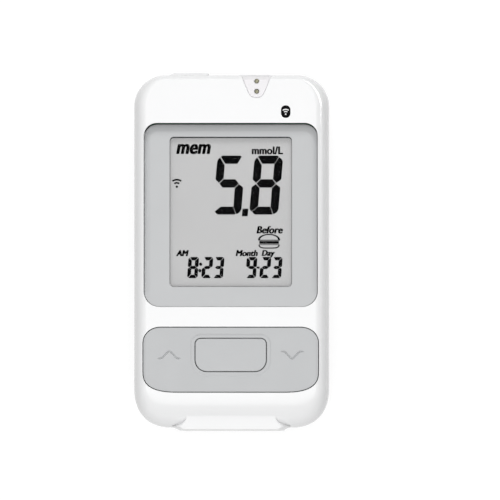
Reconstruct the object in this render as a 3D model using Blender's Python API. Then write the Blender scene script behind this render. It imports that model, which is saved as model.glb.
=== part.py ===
"""A blood glucose meter lying on its back: display up (+Z), strip port end towards +Y, metres."""

import math

import bmesh
import bpy
from mathutils import Matrix, Vector

# Gaps between pieces
SEAT_GAP = 0.0001
FIT_GAP = 0.00015
KEY_GAP = 0.00028
LOOSE_GAP = 0.0003
SEAM_GAP = 0.0002
CUT_OVERRUN = 0.002

# Case
SHELL_WIDTH = 0.0533
SHELL_LENGTH = 0.0965
REAR_DEPTH = 0.0105
REAR_WALL = 0.0018
CASE_WALL = 0.0018
FACE_WALL = 0.0018
TOP_CORNER = 0.0086
BOTTOM_CORNER_WIDE = 0.0107
BOTTOM_CORNER_LONG = 0.0112
SMALLEST_CORNER = 0.0003
SIDE_ROUNDING = 0.0036
TOP_ROUNDING = 0.0013
BOTTOM_ROUNDING = 0.0090
REAR_ROUNDING = 0.0040
TOP_CORNER_POWER = 2.0
BOTTOM_CORNER_POWER = 2.4
RIM_TONGUE_THICKNESS = 0.0008
RIM_TONGUE_HEIGHT = 0.0010

# Lip at the bottom end of the front shell
LIP_PROUD = 0.0009
LIP_TOP_WIDTH = 0.0248
LIP_RAMP_WIDTH = 0.0286
LIP_MOUTH_WIDTH = 0.0324
LIP_EDGE_WIDTH = 0.0250
LIP_REACH = 0.0042
LIP_SIDE_DEPTH = 0.0013
LIP_START_HEIGHT = 0.0085
LIP_END_HEIGHT = 0.0081
LIP_FLANK_DROP = 0.0024
LIP_EDGE_ROUNDING = 0.0005
LIP_FLARE_POWER = 2.2

# Batteries, their bay and the door that closes it
CELL_DIAMETER = 0.0105
CELL_LENGTH = 0.0445
CELL_NUB_DIAMETER = 0.0038
CELL_NUB_HEIGHT = 0.0008
CELL_EDGE = 0.0004
CELL_SPACING = 0.0110
SPRING_ROOM = 0.0041
CONTACT_THICKNESS = 0.0004
CONTACT_WIDTH = 0.0080
CONTACT_HEIGHT = 0.0084
BAY_WALL = 0.0012
BAY_FROM_END = 0.0038
BAY_ROOF = 0.0010
DOOR_THICKNESS = 0.0015
DOOR_WIDTH = 0.0264
DOOR_MARGIN = 0.0011
DOOR_TONGUE_WIDTH = 0.0009
DOOR_TONGUE_THICKNESS = 0.00075
DOOR_END_WIDTH = 0.0288
DOOR_RAIL_WIDTH = 0.0020
DOOR_RAIL_HEIGHT = 0.0016
DOOR_END_GAP = 0.0003
GRIP_WIDTH = 0.0130
GRIP_GROOVE = 0.0008
GRIP_PITCH = 0.0018
GRIP_DEPTH = 0.0004
GRIP_GROOVES = 5
GRIP_FROM_END = 0.0090

# Coil springs of the battery contacts
SPRING_WIRE = 0.0005
SPRING_BASE_DIAMETER = 0.0062
SPRING_TIP_DIAMETER = 0.0040
SPRING_TURNS = 3.5
SPRING_POINTS_PER_TURN = 10

# Circuit board and what it carries
BOARD_THICKNESS = 0.0010
BOARD_FROM_SIDE = 0.00415
BOARD_CORNER = 0.0010
BOARD_END_GAP = 0.0016
BOARD_FOOT_WIDTH = 0.0310
BOARD_HEAD_WIDTH = 0.0336
BOARD_SHOULDER = 0.0074
DOME_DIAMETER = 0.0060
DOME_HEIGHT = 0.00025
ZEBRA_HEIGHT = 0.0016
ZEBRA_DEPTH = 0.0022
ZEBRA_FROM_SIDE = 0.0015
CHIP_SIZE = 0.0090
CHIP_HEIGHT = 0.0010
RADIO_WIDTH = 0.0110
RADIO_LENGTH = 0.0075
RADIO_HEIGHT = 0.0018
BUZZER_DIAMETER = 0.0096
BUZZER_HEIGHT = 0.0024
BUZZER_HOLE = 0.0018

# Display
LCD_THICKNESS = 0.0018
LCD_MARGIN = 0.0018
LCD_LEDGE = 0.0022
LCD_GLASS_SHARE = 0.5
HOLDER_WALL = 0.0010
HOLDER_LEDGE = 0.0010
LENS_GAP = 0.0003
LENS_THICKNESS = 0.0010
LENS_MARGIN = 0.0016
BEZEL_FROM_SIDE = 0.00275
BEZEL_FROM_TOP = 0.0128
BEZEL_TOP_CORNER = 0.0035
BEZEL_BOTTOM_CORNER = 0.0042
BEZEL_LIP = 0.0005
BEZEL_THIN_END = 0.0014
BEZEL_TOP_RECESS = 0.0014
BEZEL_BOTTOM_RECESS = 0.0003
BEZEL_INSET = 0.00015
BEZEL_TONGUE_WIDTH = 0.0120
BEZEL_TONGUE_REACH = 0.0011
BEZEL_TONGUE_THICKNESS = 0.0008
BEZEL_TONGUE_FROM_SIDE = 0.0114
WINDOW_FROM_SIDE = 0.0072
WINDOW_FROM_TOP = 0.0041
WINDOW_FROM_BOTTOM = 0.00575
WINDOW_CORNER = 0.0011
WINDOW_CHAMFER = 0.0002

# Keys
KEYPAD_FROM_BEZEL = 0.0052
KEYPAD_FROM_SIDE = 0.00255
KEYPAD_FROM_BOTTOM = 0.00965
KEYPAD_LENGTH = 0.0182
KEYPAD_TOP_CORNER = 0.0044
KEYPAD_BOTTOM_CORNER_WIDE = 0.0069
KEYPAD_BOTTOM_CORNER_LONG = 0.0047
KEYPAD_SKIN = 0.0019
KEYPAD_WALL = 0.0012
KEYPAD_DEPTH = 0.0042
KEYPAD_ROOM = 0.0009
KEYPAD_TONGUE_WIDTH = 0.0160
KEYPAD_TONGUE_REACH = 0.0009
KEYPAD_TONGUE_THICKNESS = 0.0008
KEYPAD_TONGUE_DROP = 0.0025
KEYPAD_DISH_WIDTH = 0.0010
KEYPAD_DISH_DEPTH = 0.00015
FULCRUM_THICKNESS = 0.0012
POST_DIAMETER = 0.0030
ARROW_FROM_KEYPAD_SIDE = 0.0073
ARROW_WIDTH = 0.0042
ARROW_TAIL = 0.0010
ARROW_HEIGHT = 0.0021
ARROW_STROKE = 0.0004
ARROW_DEPTH = 0.00015
ROCKER_POST_GAP = 0.00045
BUTTON_FROM_KEYPAD_SIDE = 0.0143
BUTTON_LENGTH = 0.00915
BUTTON_FROM_KEYPAD_TOP = 0.00325
BUTTON_TOP_CORNER = 0.0015
BUTTON_BOTTOM_CORNER = 0.0031
BUTTON_SKIN = 0.0015
BUTTON_WALL = 0.0010
BUTTON_FLANGE_REACH = 0.0009
BUTTON_FLANGE_THICKNESS = 0.0007
BUTTON_FLANGE_GAP = 0.0005
BUTTON_POST_GAP = 0.0005

# Strip port
STRIP_PORT_OFFSET = 0.00676
PORT_MOUTH_WIDTH = 0.0082
PORT_LENGTH = 0.00625
PORT_TAPER_SHARE = 0.62
PORT_ROUND_POWER = 8
PORT_RECESS = 0.00025
PORT_PLATE_THICKNESS = 0.0034
PORT_BLOCK_WIDTH = 0.0090
PORT_BLOCK_DEPTH = 0.0023
PORT_BLOCK_BELOW_SLOT = 0.0006
SLOT_WIDTH = 0.0066
SLOT_HEIGHT = 0.0009
SLOT_ABOVE_BOARD = 0.00085
PORT_PIN_DIAMETER = 0.0012
PORT_PIN_LENGTH = 0.0012
PORT_PIN_PROUD = 0.00005
PORT_PIN_FROM_TOP = 0.0016
PORT_PIN_SPACING = 0.0028
CONNECTOR_WIDTH = 0.0100
CONNECTOR_LENGTH = 0.0088
CONNECTOR_HEIGHT = 0.0028
CONNECTOR_BACK_WALL = 0.0012
CONTACT_COUNT = 3
CONTACT_PITCH = 0.0018
LEAF_WIDTH = 0.0006
LEAF_THICKNESS = 0.0002
LEAF_CHANNEL = 0.0011
LEAF_RISE = 0.0004
LEAF_TAIL = 0.0010

# Data port and its cover
DATA_PORT_FROM_MIDDLE = 0.0124
DATA_SOCKET_WIDTH = 0.0075
DATA_SOCKET_HEIGHT = 0.0025
DATA_SOCKET_LENGTH = 0.0050
DATA_SOCKET_WALL = 0.0003
DATA_SOCKET_CORNER = 0.0006
DATA_TONGUE_HEIGHT = 0.0006
PORT_COVER_PROUD = 0.0006
PORT_COVER_WIDTH = 0.0115
PORT_COVER_FROM_MIDDLE = 0.0067
PORT_COVER_HEIGHT = 0.0078
PORT_COVER_THICKNESS = 0.0020
PORT_COVER_RAMP = 0.0018
PORT_COVER_CORNER = 0.0003
PORT_COVER_END_GAP = 0.0005
KNUCKLE_RADIUS = 0.0008
TRUNNION_RADIUS = 0.0004
TRUNNION_LENGTH = 0.0006
TRUNNION_GAP = 0.00015
PLUG_WIDTH = 0.0052
PLUG_HEIGHT = 0.0014
PLUG_DEPTH = 0.0010
PORT_FRAME_DEPTH = 0.0012
PORT_FRAME_MARGIN = 0.0014

# Screws and the columns that take them
SCREW_DIAMETER = 0.0019
SCREW_LENGTH = 0.0100
SCREW_HEAD_DIAMETER = 0.0038
SCREW_HEAD_HEIGHT = 0.0014
SCREW_RECESS = 0.0022
SCREW_RECESS_WIDTH = 0.0006
SCREW_RECESS_DEPTH = 0.0007
SCREW_SEAT_DEPTH = 0.0040
COLUMN_DIAMETER = 0.0054
BOSS_DIAMETER = 0.0050
TOP_SCREW_FROM_MIDDLE = 0.0202
TOP_SCREW_FROM_END = 0.0074
BOTTOM_SCREW_FROM_MIDDLE = 0.0185
BOTTOM_SCREW_FROM_END = 0.0061
SCREW_HOLE_GAP = 0.0001
BOARD_SCREW_DIAMETER = 0.0015
BOARD_SCREW_LENGTH = 0.0050
BOARD_SCREW_HEAD_DIAMETER = 0.0028
BOARD_SCREW_HEAD_HEIGHT = 0.0009
BOARD_COLUMN_DIAMETER = 0.0034
BOARD_SCREW_FROM_END = 0.0040
BOARD_SCREW_SPACING = 0.0188
BOARD_PIN_DIAMETER = 0.0020
BOARD_PIN_FROM_EDGE = 0.0014

# Facets of the round forms
CORNER_STEPS = 8
ROUNDING_STEPS = 8
SMALL_CORNER_STEPS = 5
LIP_STEPS = 5
ROUND_SIDES = 24
SMALL_ROUND_SIDES = 16
SMOOTH_ANGLE = math.radians(32)

# Places worked out from the sizes above
SHELL_TOP = (SHELL_LENGTH + LIP_PROUD - PORT_COVER_PROUD) / 2
SHELL_BOTTOM = SHELL_TOP - SHELL_LENGTH
CELL_AXIS_Z = DOOR_THICKNESS + LOOSE_GAP + CELL_DIAMETER / 2
BAY_UNDER_ROOF = CELL_AXIS_Z + CELL_DIAMETER / 2 + LOOSE_GAP
BAY_TOP = BAY_UNDER_ROOF + BAY_ROOF
BOARD_UNDER = BAY_TOP + SEAT_GAP
BOARD_TOP = BOARD_UNDER + BOARD_THICKNESS
ZEBRA_UNDER = BOARD_TOP + SEAT_GAP
LCD_UNDER = ZEBRA_UNDER + ZEBRA_HEIGHT + SEAT_GAP
LCD_TOP = LCD_UNDER + LCD_THICKNESS
LENS_UNDER = LCD_TOP + LENS_GAP
LENS_TOP = LENS_UNDER + LENS_THICKNESS
FACE_Z = LENS_TOP + SEAT_GAP + BEZEL_LIP + BEZEL_TOP_RECESS
BEZEL_UNDER = FACE_Z - BEZEL_TOP_RECESS - BEZEL_THIN_END
FACE_UNDER = FACE_Z - FACE_WALL
FRONT_RIM = REAR_DEPTH + SEAM_GAP / 2
REAR_RIM = REAR_DEPTH - SEAM_GAP / 2
FACE_ROOM = SHELL_LENGTH - BEZEL_FROM_TOP - KEYPAD_FROM_BOTTOM
BEZEL_LENGTH = FACE_ROOM - KEYPAD_LENGTH - KEYPAD_FROM_BEZEL
BEZEL_WIDTH = SHELL_WIDTH - 2 * BEZEL_FROM_SIDE
BEZEL_TONGUE_OFFSET = BEZEL_WIDTH / 2 - BEZEL_TONGUE_FROM_SIDE
BEZEL_Y_TOP = SHELL_TOP - BEZEL_FROM_TOP
BEZEL_Y_BOTTOM = BEZEL_Y_TOP - BEZEL_LENGTH
WINDOW_Y_TOP = BEZEL_Y_TOP - WINDOW_FROM_TOP
WINDOW_Y_BOTTOM = BEZEL_Y_BOTTOM + WINDOW_FROM_BOTTOM
WINDOW_WIDTH = BEZEL_WIDTH - 2 * WINDOW_FROM_SIDE
KEYPAD_Y_TOP = BEZEL_Y_BOTTOM - KEYPAD_FROM_BEZEL
KEYPAD_Y_BOTTOM = KEYPAD_Y_TOP - KEYPAD_LENGTH
KEYPAD_WIDTH = SHELL_WIDTH - 2 * KEYPAD_FROM_SIDE
ARROW_FROM_MIDDLE = KEYPAD_WIDTH / 2 - ARROW_FROM_KEYPAD_SIDE
BUTTON_WIDTH = KEYPAD_WIDTH - 2 * BUTTON_FROM_KEYPAD_SIDE
BUTTON_Y_TOP = KEYPAD_Y_TOP - BUTTON_FROM_KEYPAD_TOP
BUTTON_Y_BOTTOM = BUTTON_Y_TOP - BUTTON_LENGTH
BUTTON_Y = (BUTTON_Y_TOP + BUTTON_Y_BOTTOM) / 2
DOME_TOP = BOARD_TOP + SEAT_GAP + DOME_HEIGHT
BAY_LENGTH = CELL_LENGTH + SPRING_ROOM + 2 * (CONTACT_THICKNESS + FIT_GAP) + FIT_GAP
BAY_WIDTH = CELL_SPACING + CELL_DIAMETER + 3 * LOOSE_GAP
BAY_Y_BOTTOM = SHELL_BOTTOM + BAY_FROM_END
BAY_Y_TOP = BAY_Y_BOTTOM + BAY_LENGTH
DOOR_Y_TOP = BAY_Y_TOP + BAY_WALL + DOOR_MARGIN
DOOR_END_INSIDE = BAY_Y_BOTTOM - BAY_WALL - DOOR_END_GAP
PIVOT_X = -PORT_COVER_FROM_MIDDLE - PORT_COVER_WIDTH + KNUCKLE_RADIUS
COVER_OUTSIDE = SHELL_TOP + PORT_COVER_PROUD
COVER_INSIDE = COVER_OUTSIDE - PORT_COVER_THICKNESS
PIVOT_Y = COVER_INSIDE + KNUCKLE_RADIUS / 2
DATA_PORT_Z = BOARD_UNDER - SEAT_GAP - DATA_SOCKET_HEIGHT / 2
PORT_FRAME_INSIDE = SHELL_TOP - CASE_WALL - PORT_FRAME_DEPTH
BOARD_WIDTH = SHELL_WIDTH - 2 * BOARD_FROM_SIDE
BOARD_Y_TOP = PORT_FRAME_INSIDE - LOOSE_GAP
BOARD_Y_BOTTOM = BAY_Y_BOTTOM + BOARD_END_GAP
SLOT_UNDER = BOARD_TOP + SLOT_ABOVE_BOARD
PORT_PLATE_UNDER = FACE_Z - PORT_RECESS - PORT_PLATE_THICKNESS
PORT_BLOCK_UNDER = SLOT_UNDER - PORT_BLOCK_BELOW_SLOT
PORT_BLOCK_INSIDE = SHELL_TOP - PORT_RECESS - PORT_BLOCK_DEPTH
TONGUE_UNDER = DOOR_THICKNESS - DOOR_TONGUE_THICKNESS
GROOVE_HALF = DOOR_WIDTH / 2 + DOOR_TONGUE_WIDTH + FIT_GAP
GROOVE_TOP = DOOR_THICKNESS + FIT_GAP
END_CUT_Y = BAY_Y_BOTTOM - BAY_WALL + SEAT_GAP


# Scene and materials


def clear_scene():
    for thing in list(bpy.data.objects):
        bpy.data.objects.remove(thing)


def finish(name, color, roughness, metallic=0.0, alpha=1.0):
    made = bpy.data.materials.new(name)
    made.use_nodes = True
    shader = made.node_tree.nodes["Principled BSDF"]
    shader.inputs["Base Color"].default_value = (*color, 1.0)
    shader.inputs["Roughness"].default_value = roughness
    shader.inputs["Metallic"].default_value = metallic
    shader.inputs["Alpha"].default_value = alpha
    made.diffuse_color = (*color, alpha)
    return made


# Outlines


def corner(centre, size, start, power, steps):
    """A quarter of a superellipse, anticlockwise from the angle start."""
    points = []
    for step in range(steps + 1):
        angle = start + math.pi / 2 * step / steps
        across, along = math.cos(angle), math.sin(angle)
        x = centre[0] + size[0] * math.copysign(abs(across) ** (2 / power), across)
        y = centre[1] + size[1] * math.copysign(abs(along) ** (2 / power), along)
        points.append((x, y))
    return points


def rounded_outline(left, right, bottom, top, low, high, steps, powers=(2.0, 2.0)):
    """An anticlockwise outline whose lower and upper corners have the sizes low and high."""
    low_power, high_power = powers
    turn = math.pi / 2
    points = corner((right - low[0], bottom + low[1]), low, -turn, low_power, steps)
    points += corner((right - high[0], top - high[1]), high, 0.0, high_power, steps)
    points += corner((left + high[0], top - high[1]), high, turn, high_power, steps)
    points += corner((left + low[0], bottom + low[1]), low, 2 * turn, low_power, steps)
    return points


def rounded_box(left, right, bottom, top, radius, steps=SMALL_CORNER_STEPS):
    return rounded_outline(left, right, bottom, top, (radius, radius), (radius, radius), steps)


def box_outline(left, right, bottom, top):
    return [(left, bottom), (right, bottom), (right, top), (left, top)]


def case_outline(side, top, bottom):
    """The case's outline, drawn in by these amounts at its sides, its top and its bottom."""
    half = SHELL_WIDTH / 2 - side
    high = (max(TOP_CORNER - side, SMALLEST_CORNER), max(TOP_CORNER - top, SMALLEST_CORNER))
    low = (
        max(BOTTOM_CORNER_WIDE - side, SMALLEST_CORNER),
        max(BOTTOM_CORNER_LONG - bottom, SMALLEST_CORNER),
    )
    powers = (BOTTOM_CORNER_POWER, TOP_CORNER_POWER)
    ends = (SHELL_BOTTOM + bottom, SHELL_TOP - top)
    return rounded_outline(-half, half, *ends, low, high, CORNER_STEPS, powers)


def bezel_outline(gap):
    half = BEZEL_WIDTH / 2 + gap
    low, high = BEZEL_BOTTOM_CORNER + gap, BEZEL_TOP_CORNER + gap
    ends = (BEZEL_Y_BOTTOM - gap, BEZEL_Y_TOP + gap)
    return rounded_outline(-half, half, *ends, (low, low), (high, high), SMALL_CORNER_STEPS)


def window_outline(margin):
    half = WINDOW_WIDTH / 2 + margin
    ends = (WINDOW_Y_BOTTOM - margin, WINDOW_Y_TOP + margin)
    return rounded_box(-half, half, *ends, WINDOW_CORNER)


def keypad_outline(gap):
    half = KEYPAD_WIDTH / 2 + gap
    low = (KEYPAD_BOTTOM_CORNER_WIDE + gap, KEYPAD_BOTTOM_CORNER_LONG + gap)
    high = KEYPAD_TOP_CORNER + gap
    ends = (KEYPAD_Y_BOTTOM - gap, KEYPAD_Y_TOP + gap)
    return rounded_outline(-half, half, *ends, low, (high, high), CORNER_STEPS)


def button_outline(gap):
    half = BUTTON_WIDTH / 2 + gap
    smallest = SMALLEST_CORNER
    low = max(BUTTON_BOTTOM_CORNER + gap, smallest)
    high = max(BUTTON_TOP_CORNER + gap, smallest)
    ends = (BUTTON_Y_BOTTOM - gap, BUTTON_Y_TOP + gap)
    return rounded_outline(-half, half, *ends, (low, low), (high, high), SMALL_CORNER_STEPS)


def port_outline(gap, reach):
    """The V of the strip port, running past the case's top edge by reach."""
    steps = 2 * CORNER_STEPS
    side = []
    for step in range(steps + 1):
        share = math.sin(math.pi / 2 * step / steps)
        width = (1 - PORT_TAPER_SHARE * share) * math.sqrt(max(0.0, 1 - share**PORT_ROUND_POWER))
        half = PORT_MOUTH_WIDTH / 2 * width + gap * (1 - share)
        side.append((half, SHELL_TOP - (PORT_LENGTH + gap) * share))
    side = [(PORT_MOUTH_WIDTH / 2 + gap, SHELL_TOP + reach)] + side[:-1]
    tip = [(0.0, SHELL_TOP - PORT_LENGTH - gap)]
    points = [(-x, y) for x, y in side] + tip + [(x, y) for x, y in reversed(side)]
    return [(STRIP_PORT_OFFSET + x, y) for x, y in points]


def cover_outline(gap, reach):
    """The data port's cover from the front, from its knuckle on the left to its free end."""
    radius = KNUCKLE_RADIUS + gap
    knuckle = []
    for step in range(2 * SMALL_CORNER_STEPS + 1):
        angle = math.pi / 2 + math.pi * step / (2 * SMALL_CORNER_STEPS)
        knuckle.append((PIVOT_X + radius * math.cos(angle), PIVOT_Y + radius * math.sin(angle)))
    free = -PORT_COVER_FROM_MIDDLE + (PORT_COVER_END_GAP if gap else 0.0)
    inside = COVER_INSIDE - gap
    if gap:
        wall = PIVOT_X - radius
        above = [(free, inside), (free, SHELL_TOP + reach), (wall, SHELL_TOP + reach)]
        below = [(x, y) for x, y in knuckle if y <= PIVOT_Y]
        return below + [(PIVOT_X + radius, inside)] + above
    ramp = (PIVOT_X + PORT_COVER_RAMP, COVER_OUTSIDE)
    edge = PORT_COVER_CORNER
    end = corner((free - edge, COVER_OUTSIDE - edge), (edge, edge), 0.0, 2.0, SMALL_CORNER_STEPS)
    return knuckle + [(PIVOT_X + radius, inside), (free, inside)] + end + [ramp]


# Solids


def loft(rings):
    """A closed solid through rings of equal counts, anticlockwise from above, lowest first."""
    made = bmesh.new()
    loops = [[made.verts.new(point) for point in ring] for ring in rings]
    count = len(loops[0])
    for lower, upper in zip(loops, loops[1:]):
        for i in range(count):
            j = (i + 1) % count
            made.faces.new((lower[i], lower[j], upper[j], upper[i]))
    made.faces.new(loops[0][::-1])
    made.faces.new(loops[-1])
    return made


def ring_at(outline, z):
    return [(x, y, z) for x, y in outline]


def prism(outline, low, high):
    return loft([ring_at(outline, low), ring_at(outline, high)])


def box(left, right, bottom, top, low, high):
    return prism(box_outline(left, right, bottom, top), low, high)


def turned(profile, sides, centre=(0.0, 0.0)):
    """A solid turned about Z: the profile is a list of radius and height, lowest first."""
    rings = []
    for radius, z in profile:
        ring = []
        for side in range(sides):
            angle = 2 * math.pi * side / sides
            ring.append((centre[0] + radius * math.cos(angle), centre[1] + radius * math.sin(angle), z))
        rings.append(ring)
    return loft(rings)


def cylinder(radius, low, high, centre, sides=ROUND_SIDES):
    return turned([(radius, low), (radius, high)], sides, centre)


def laid_along_y(made):
    """The same solid with its +Z turned to +Y."""
    made.transform(Matrix.Rotation(-math.pi / 2, 4, "X"))
    return made


def moved(made, x=0.0, y=0.0, z=0.0):
    made.transform(Matrix.Translation((x, y, z)))
    return made


def object_from(name, made):
    mesh = bpy.data.meshes.new(name)
    made.to_mesh(mesh)
    made.free()
    thing = bpy.data.objects.new(name, mesh)
    bpy.context.scene.collection.objects.link(thing)
    return thing


def carved(base, steps):
    """The base solid after each step, a pair of a Boolean operation and the solid it takes."""
    target = object_from("target", base)
    tools = []
    for operation, made in steps:
        tool = object_from("tool", made)
        modifier = target.modifiers.new(operation, "BOOLEAN")
        modifier.operation = operation
        modifier.solver = "EXACT"
        modifier.object = tool
        tools.append(tool)
    bpy.context.view_layer.update()
    graph = bpy.context.evaluated_depsgraph_get()
    result = bmesh.new()
    result.from_object(target, graph)
    for thing in tools + [target]:
        mesh = thing.data
        bpy.data.objects.remove(thing)
        bpy.data.meshes.remove(mesh)
    return result


def joined(solids):
    return carved(solids[0], [("UNION", made) for made in solids[1:]])


def piece(name, made, material, parent, origin=(0.0, 0.0, 0.0)):
    """A named object with its origin at the given point of the model."""
    made.transform(Matrix.Translation(-Vector(origin)))
    thing = object_from(name, made)
    thing.location = origin
    thing.parent = parent
    thing.data.materials.append(material)
    thing.data.shade_smooth()
    thing.data.set_sharp_from_angle(angle=SMOOTH_ANGLE)
    return thing


def copies(name_list, mesh_of, material, parent, places):
    """Objects that share one mesh, made around its own origin."""
    first = piece(name_list[0], mesh_of(), material, parent)
    first.location = places[0]
    for name, place in zip(name_list[1:], places[1:]):
        other = bpy.data.objects.new(name, first.data)
        bpy.context.scene.collection.objects.link(other)
        other.location = place
        other.parent = parent


# Case forms


def front_form(inset, crown, low):
    """The front's domed form, drawn in by inset, from z=low up to its flat crown."""
    rings = [ring_at(case_outline(inset, inset, inset), low)]
    for step in range(1, ROUNDING_STEPS + 1):
        turn = math.pi / 2 * step / ROUNDING_STEPS
        draw = 1 - math.cos(turn)
        outline = case_outline(
            inset + SIDE_ROUNDING * draw, inset + TOP_ROUNDING * draw, inset + BOTTOM_ROUNDING * draw
        )
        rings.append(ring_at(outline, REAR_DEPTH + (crown - REAR_DEPTH) * math.sin(turn)))
    return loft(rings)


def rear_form(inset, floor, high, end_proud=0.0):
    """The back's rounded form, drawn in by inset, from its flat floor up to z=high."""
    rings = []
    for step in range(ROUNDING_STEPS + 1):
        turn = math.pi / 2 * (1 - step / ROUNDING_STEPS)
        draw = inset + REAR_ROUNDING * (1 - math.cos(turn))
        z = REAR_DEPTH - (REAR_DEPTH - floor) * math.sin(turn)
        rings.append(ring_at(case_outline(draw, draw, draw - end_proud), z))
    if high > REAR_DEPTH:
        outline = case_outline(inset, inset, inset - end_proud)
        rings.append(ring_at(outline, high))
    else:
        outline = case_outline(inset, inset, inset - end_proud)
        rings[-1] = ring_at(outline, high)
    return loft(rings)


def rim_ring(outer, inner, low, high):
    """A ring that follows the case's rim, between two insets."""
    core = prism(case_outline(inner, inner, inner), low - CUT_OVERRUN, high + CUT_OVERRUN)
    return carved(prism(case_outline(outer, outer, outer), low, high), [("DIFFERENCE", core)])


def lip_ring(turn, z_of):
    """One ring of the lip, at its full width at turn 0 and at the ramp's width at a quarter turn."""
    spread = math.cos(turn)
    edge = SHELL_BOTTOM - LIP_PROUD + LIP_EDGE_ROUNDING * (1 - spread)
    shoulder = SHELL_BOTTOM - LIP_PROUD + LIP_SIDE_DEPTH
    inner = SHELL_BOTTOM - LIP_PROUD + LIP_REACH
    front, narrow = LIP_EDGE_WIDTH / 2, LIP_TOP_WIDTH / 2
    wide = (LIP_RAMP_WIDTH + (LIP_MOUTH_WIDTH - LIP_RAMP_WIDTH) * spread) / 2
    side = []
    for step in range(LIP_STEPS):
        share = step / LIP_STEPS
        side.append((front + (wide - front) * share, edge + (shoulder - edge) * share**2))
    for step in range(LIP_STEPS + 1):
        share = step / LIP_STEPS
        flare = (1 - share) ** LIP_FLARE_POWER
        side.append((narrow + (wide - narrow) * flare, shoulder + (inner - shoulder) * share))
    side.append((narrow, inner + LIP_REACH))
    outline = side + [(-x, y) for x, y in reversed(side)]
    return [(x, y, z_of(y)) for x, y in outline]


def lip():
    """The lip at the bottom end: a ramp that falls more gently than the case's own slope."""
    def ramp(y):
        share = (y - SHELL_BOTTOM + LIP_PROUD) / LIP_REACH
        return REAR_DEPTH + LIP_END_HEIGHT + (LIP_START_HEIGHT - LIP_END_HEIGHT) * share

    def under_ramp(y, turn):
        share = min(1.0, (y - SHELL_BOTTOM + LIP_PROUD) / LIP_REACH)
        return ramp(y) - LIP_FLANK_DROP * (1 - math.sin(turn)) * (1 - share)

    rings = [lip_ring(0.0, lambda y: FRONT_RIM)]
    for step in range(LIP_STEPS + 1):
        turn = math.pi / 2 * step / LIP_STEPS
        rings.append(lip_ring(turn, lambda y, turn=turn: under_ramp(y, turn)))
    return loft(rings)


def lip_hollow():
    """The room inside the lip, open to the case."""
    half = LIP_TOP_WIDTH / 2 - CASE_WALL
    low = SHELL_BOTTOM - LIP_PROUD + CASE_WALL
    high = low + LIP_REACH
    top = REAR_DEPTH + LIP_END_HEIGHT - CASE_WALL
    return box(-half, half, low, high, REAR_DEPTH - CUT_OVERRUN, top)


def screw_places():
    top, bottom = SHELL_TOP - TOP_SCREW_FROM_END, SHELL_BOTTOM + BOTTOM_SCREW_FROM_END
    return [
        (side * across, y)
        for across, y in ((TOP_SCREW_FROM_MIDDLE, top), (BOTTOM_SCREW_FROM_MIDDLE, bottom))
        for side in (-1, 1)
    ]


def board_screw_places():
    y = BOARD_Y_TOP - BOARD_SCREW_FROM_END
    right = STRIP_PORT_OFFSET + (CONNECTOR_WIDTH + BOARD_SCREW_HEAD_DIAMETER) / 2 + 2 * LOOSE_GAP
    return [(right - BOARD_SCREW_SPACING, y), (right, y)]


def board_pin_places():
    x = BOARD_WIDTH / 2 - BOARD_PIN_FROM_EDGE
    y = (BEZEL_Y_BOTTOM + KEYPAD_Y_TOP) / 2
    return [(-x, y), (x, y)]


# Case pieces


def data_port_cutters():
    """The pocket for the data port's cover, its hinge sockets and the socket's window."""
    middle = -DATA_PORT_FROM_MIDDLE
    low, high = cover_ends()
    pocket = prism(cover_outline(LOOSE_GAP, CUT_OVERRUN), low - LOOSE_GAP, high + LOOSE_GAP)
    reach = TRUNNION_LENGTH + LOOSE_GAP
    radius = TRUNNION_RADIUS + TRUNNION_GAP
    hinge = cylinder(radius, low - reach, high + reach, (PIVOT_X, PIVOT_Y), SMALL_ROUND_SIDES)
    half_width = DATA_SOCKET_WIDTH / 2 + FIT_GAP
    half_height = DATA_SOCKET_HEIGHT / 2 + FIT_GAP
    window = box(
        middle - half_width, middle + half_width, PORT_FRAME_INSIDE - CUT_OVERRUN, SHELL_TOP,
        DATA_PORT_Z - half_height, DATA_PORT_Z + half_height,
    )
    return [("DIFFERENCE", pocket), ("DIFFERENCE", hinge), ("DIFFERENCE", window)]


def cover_ends():
    return DATA_PORT_Z - PORT_COVER_HEIGHT / 2, DATA_PORT_Z + PORT_COVER_HEIGHT / 2


def port_frame(low, high):
    """The thicker wall round the data port."""
    left = PIVOT_X - KNUCKLE_RADIUS - PORT_FRAME_MARGIN
    right = -PORT_COVER_FROM_MIDDLE + PORT_FRAME_MARGIN
    return box(left, right, PORT_FRAME_INSIDE, SHELL_TOP, low, high)


def front_inside():
    """Screw bosses, pins on the board and the port's frame, kept within the front wall."""
    high = cover_ends()[1] + TRUNNION_LENGTH + PORT_FRAME_MARGIN
    solids = [port_frame(FRONT_RIM, high)]
    for place in screw_places():
        solids.append(cylinder(BOSS_DIAMETER / 2, FRONT_RIM, FACE_Z, place))
    for place in board_pin_places():
        pin = cylinder(BOARD_PIN_DIAMETER / 2, BOARD_TOP + SEAT_GAP, FACE_Z, place, SMALL_ROUND_SIDES)
        solids.append(pin)
    limit = front_form(CASE_WALL / 2, FACE_Z - FACE_WALL / 2, REAR_DEPTH - CUT_OVERRUN)
    return [carved(made, [("INTERSECT", limit.copy())]) for made in solids]


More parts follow.
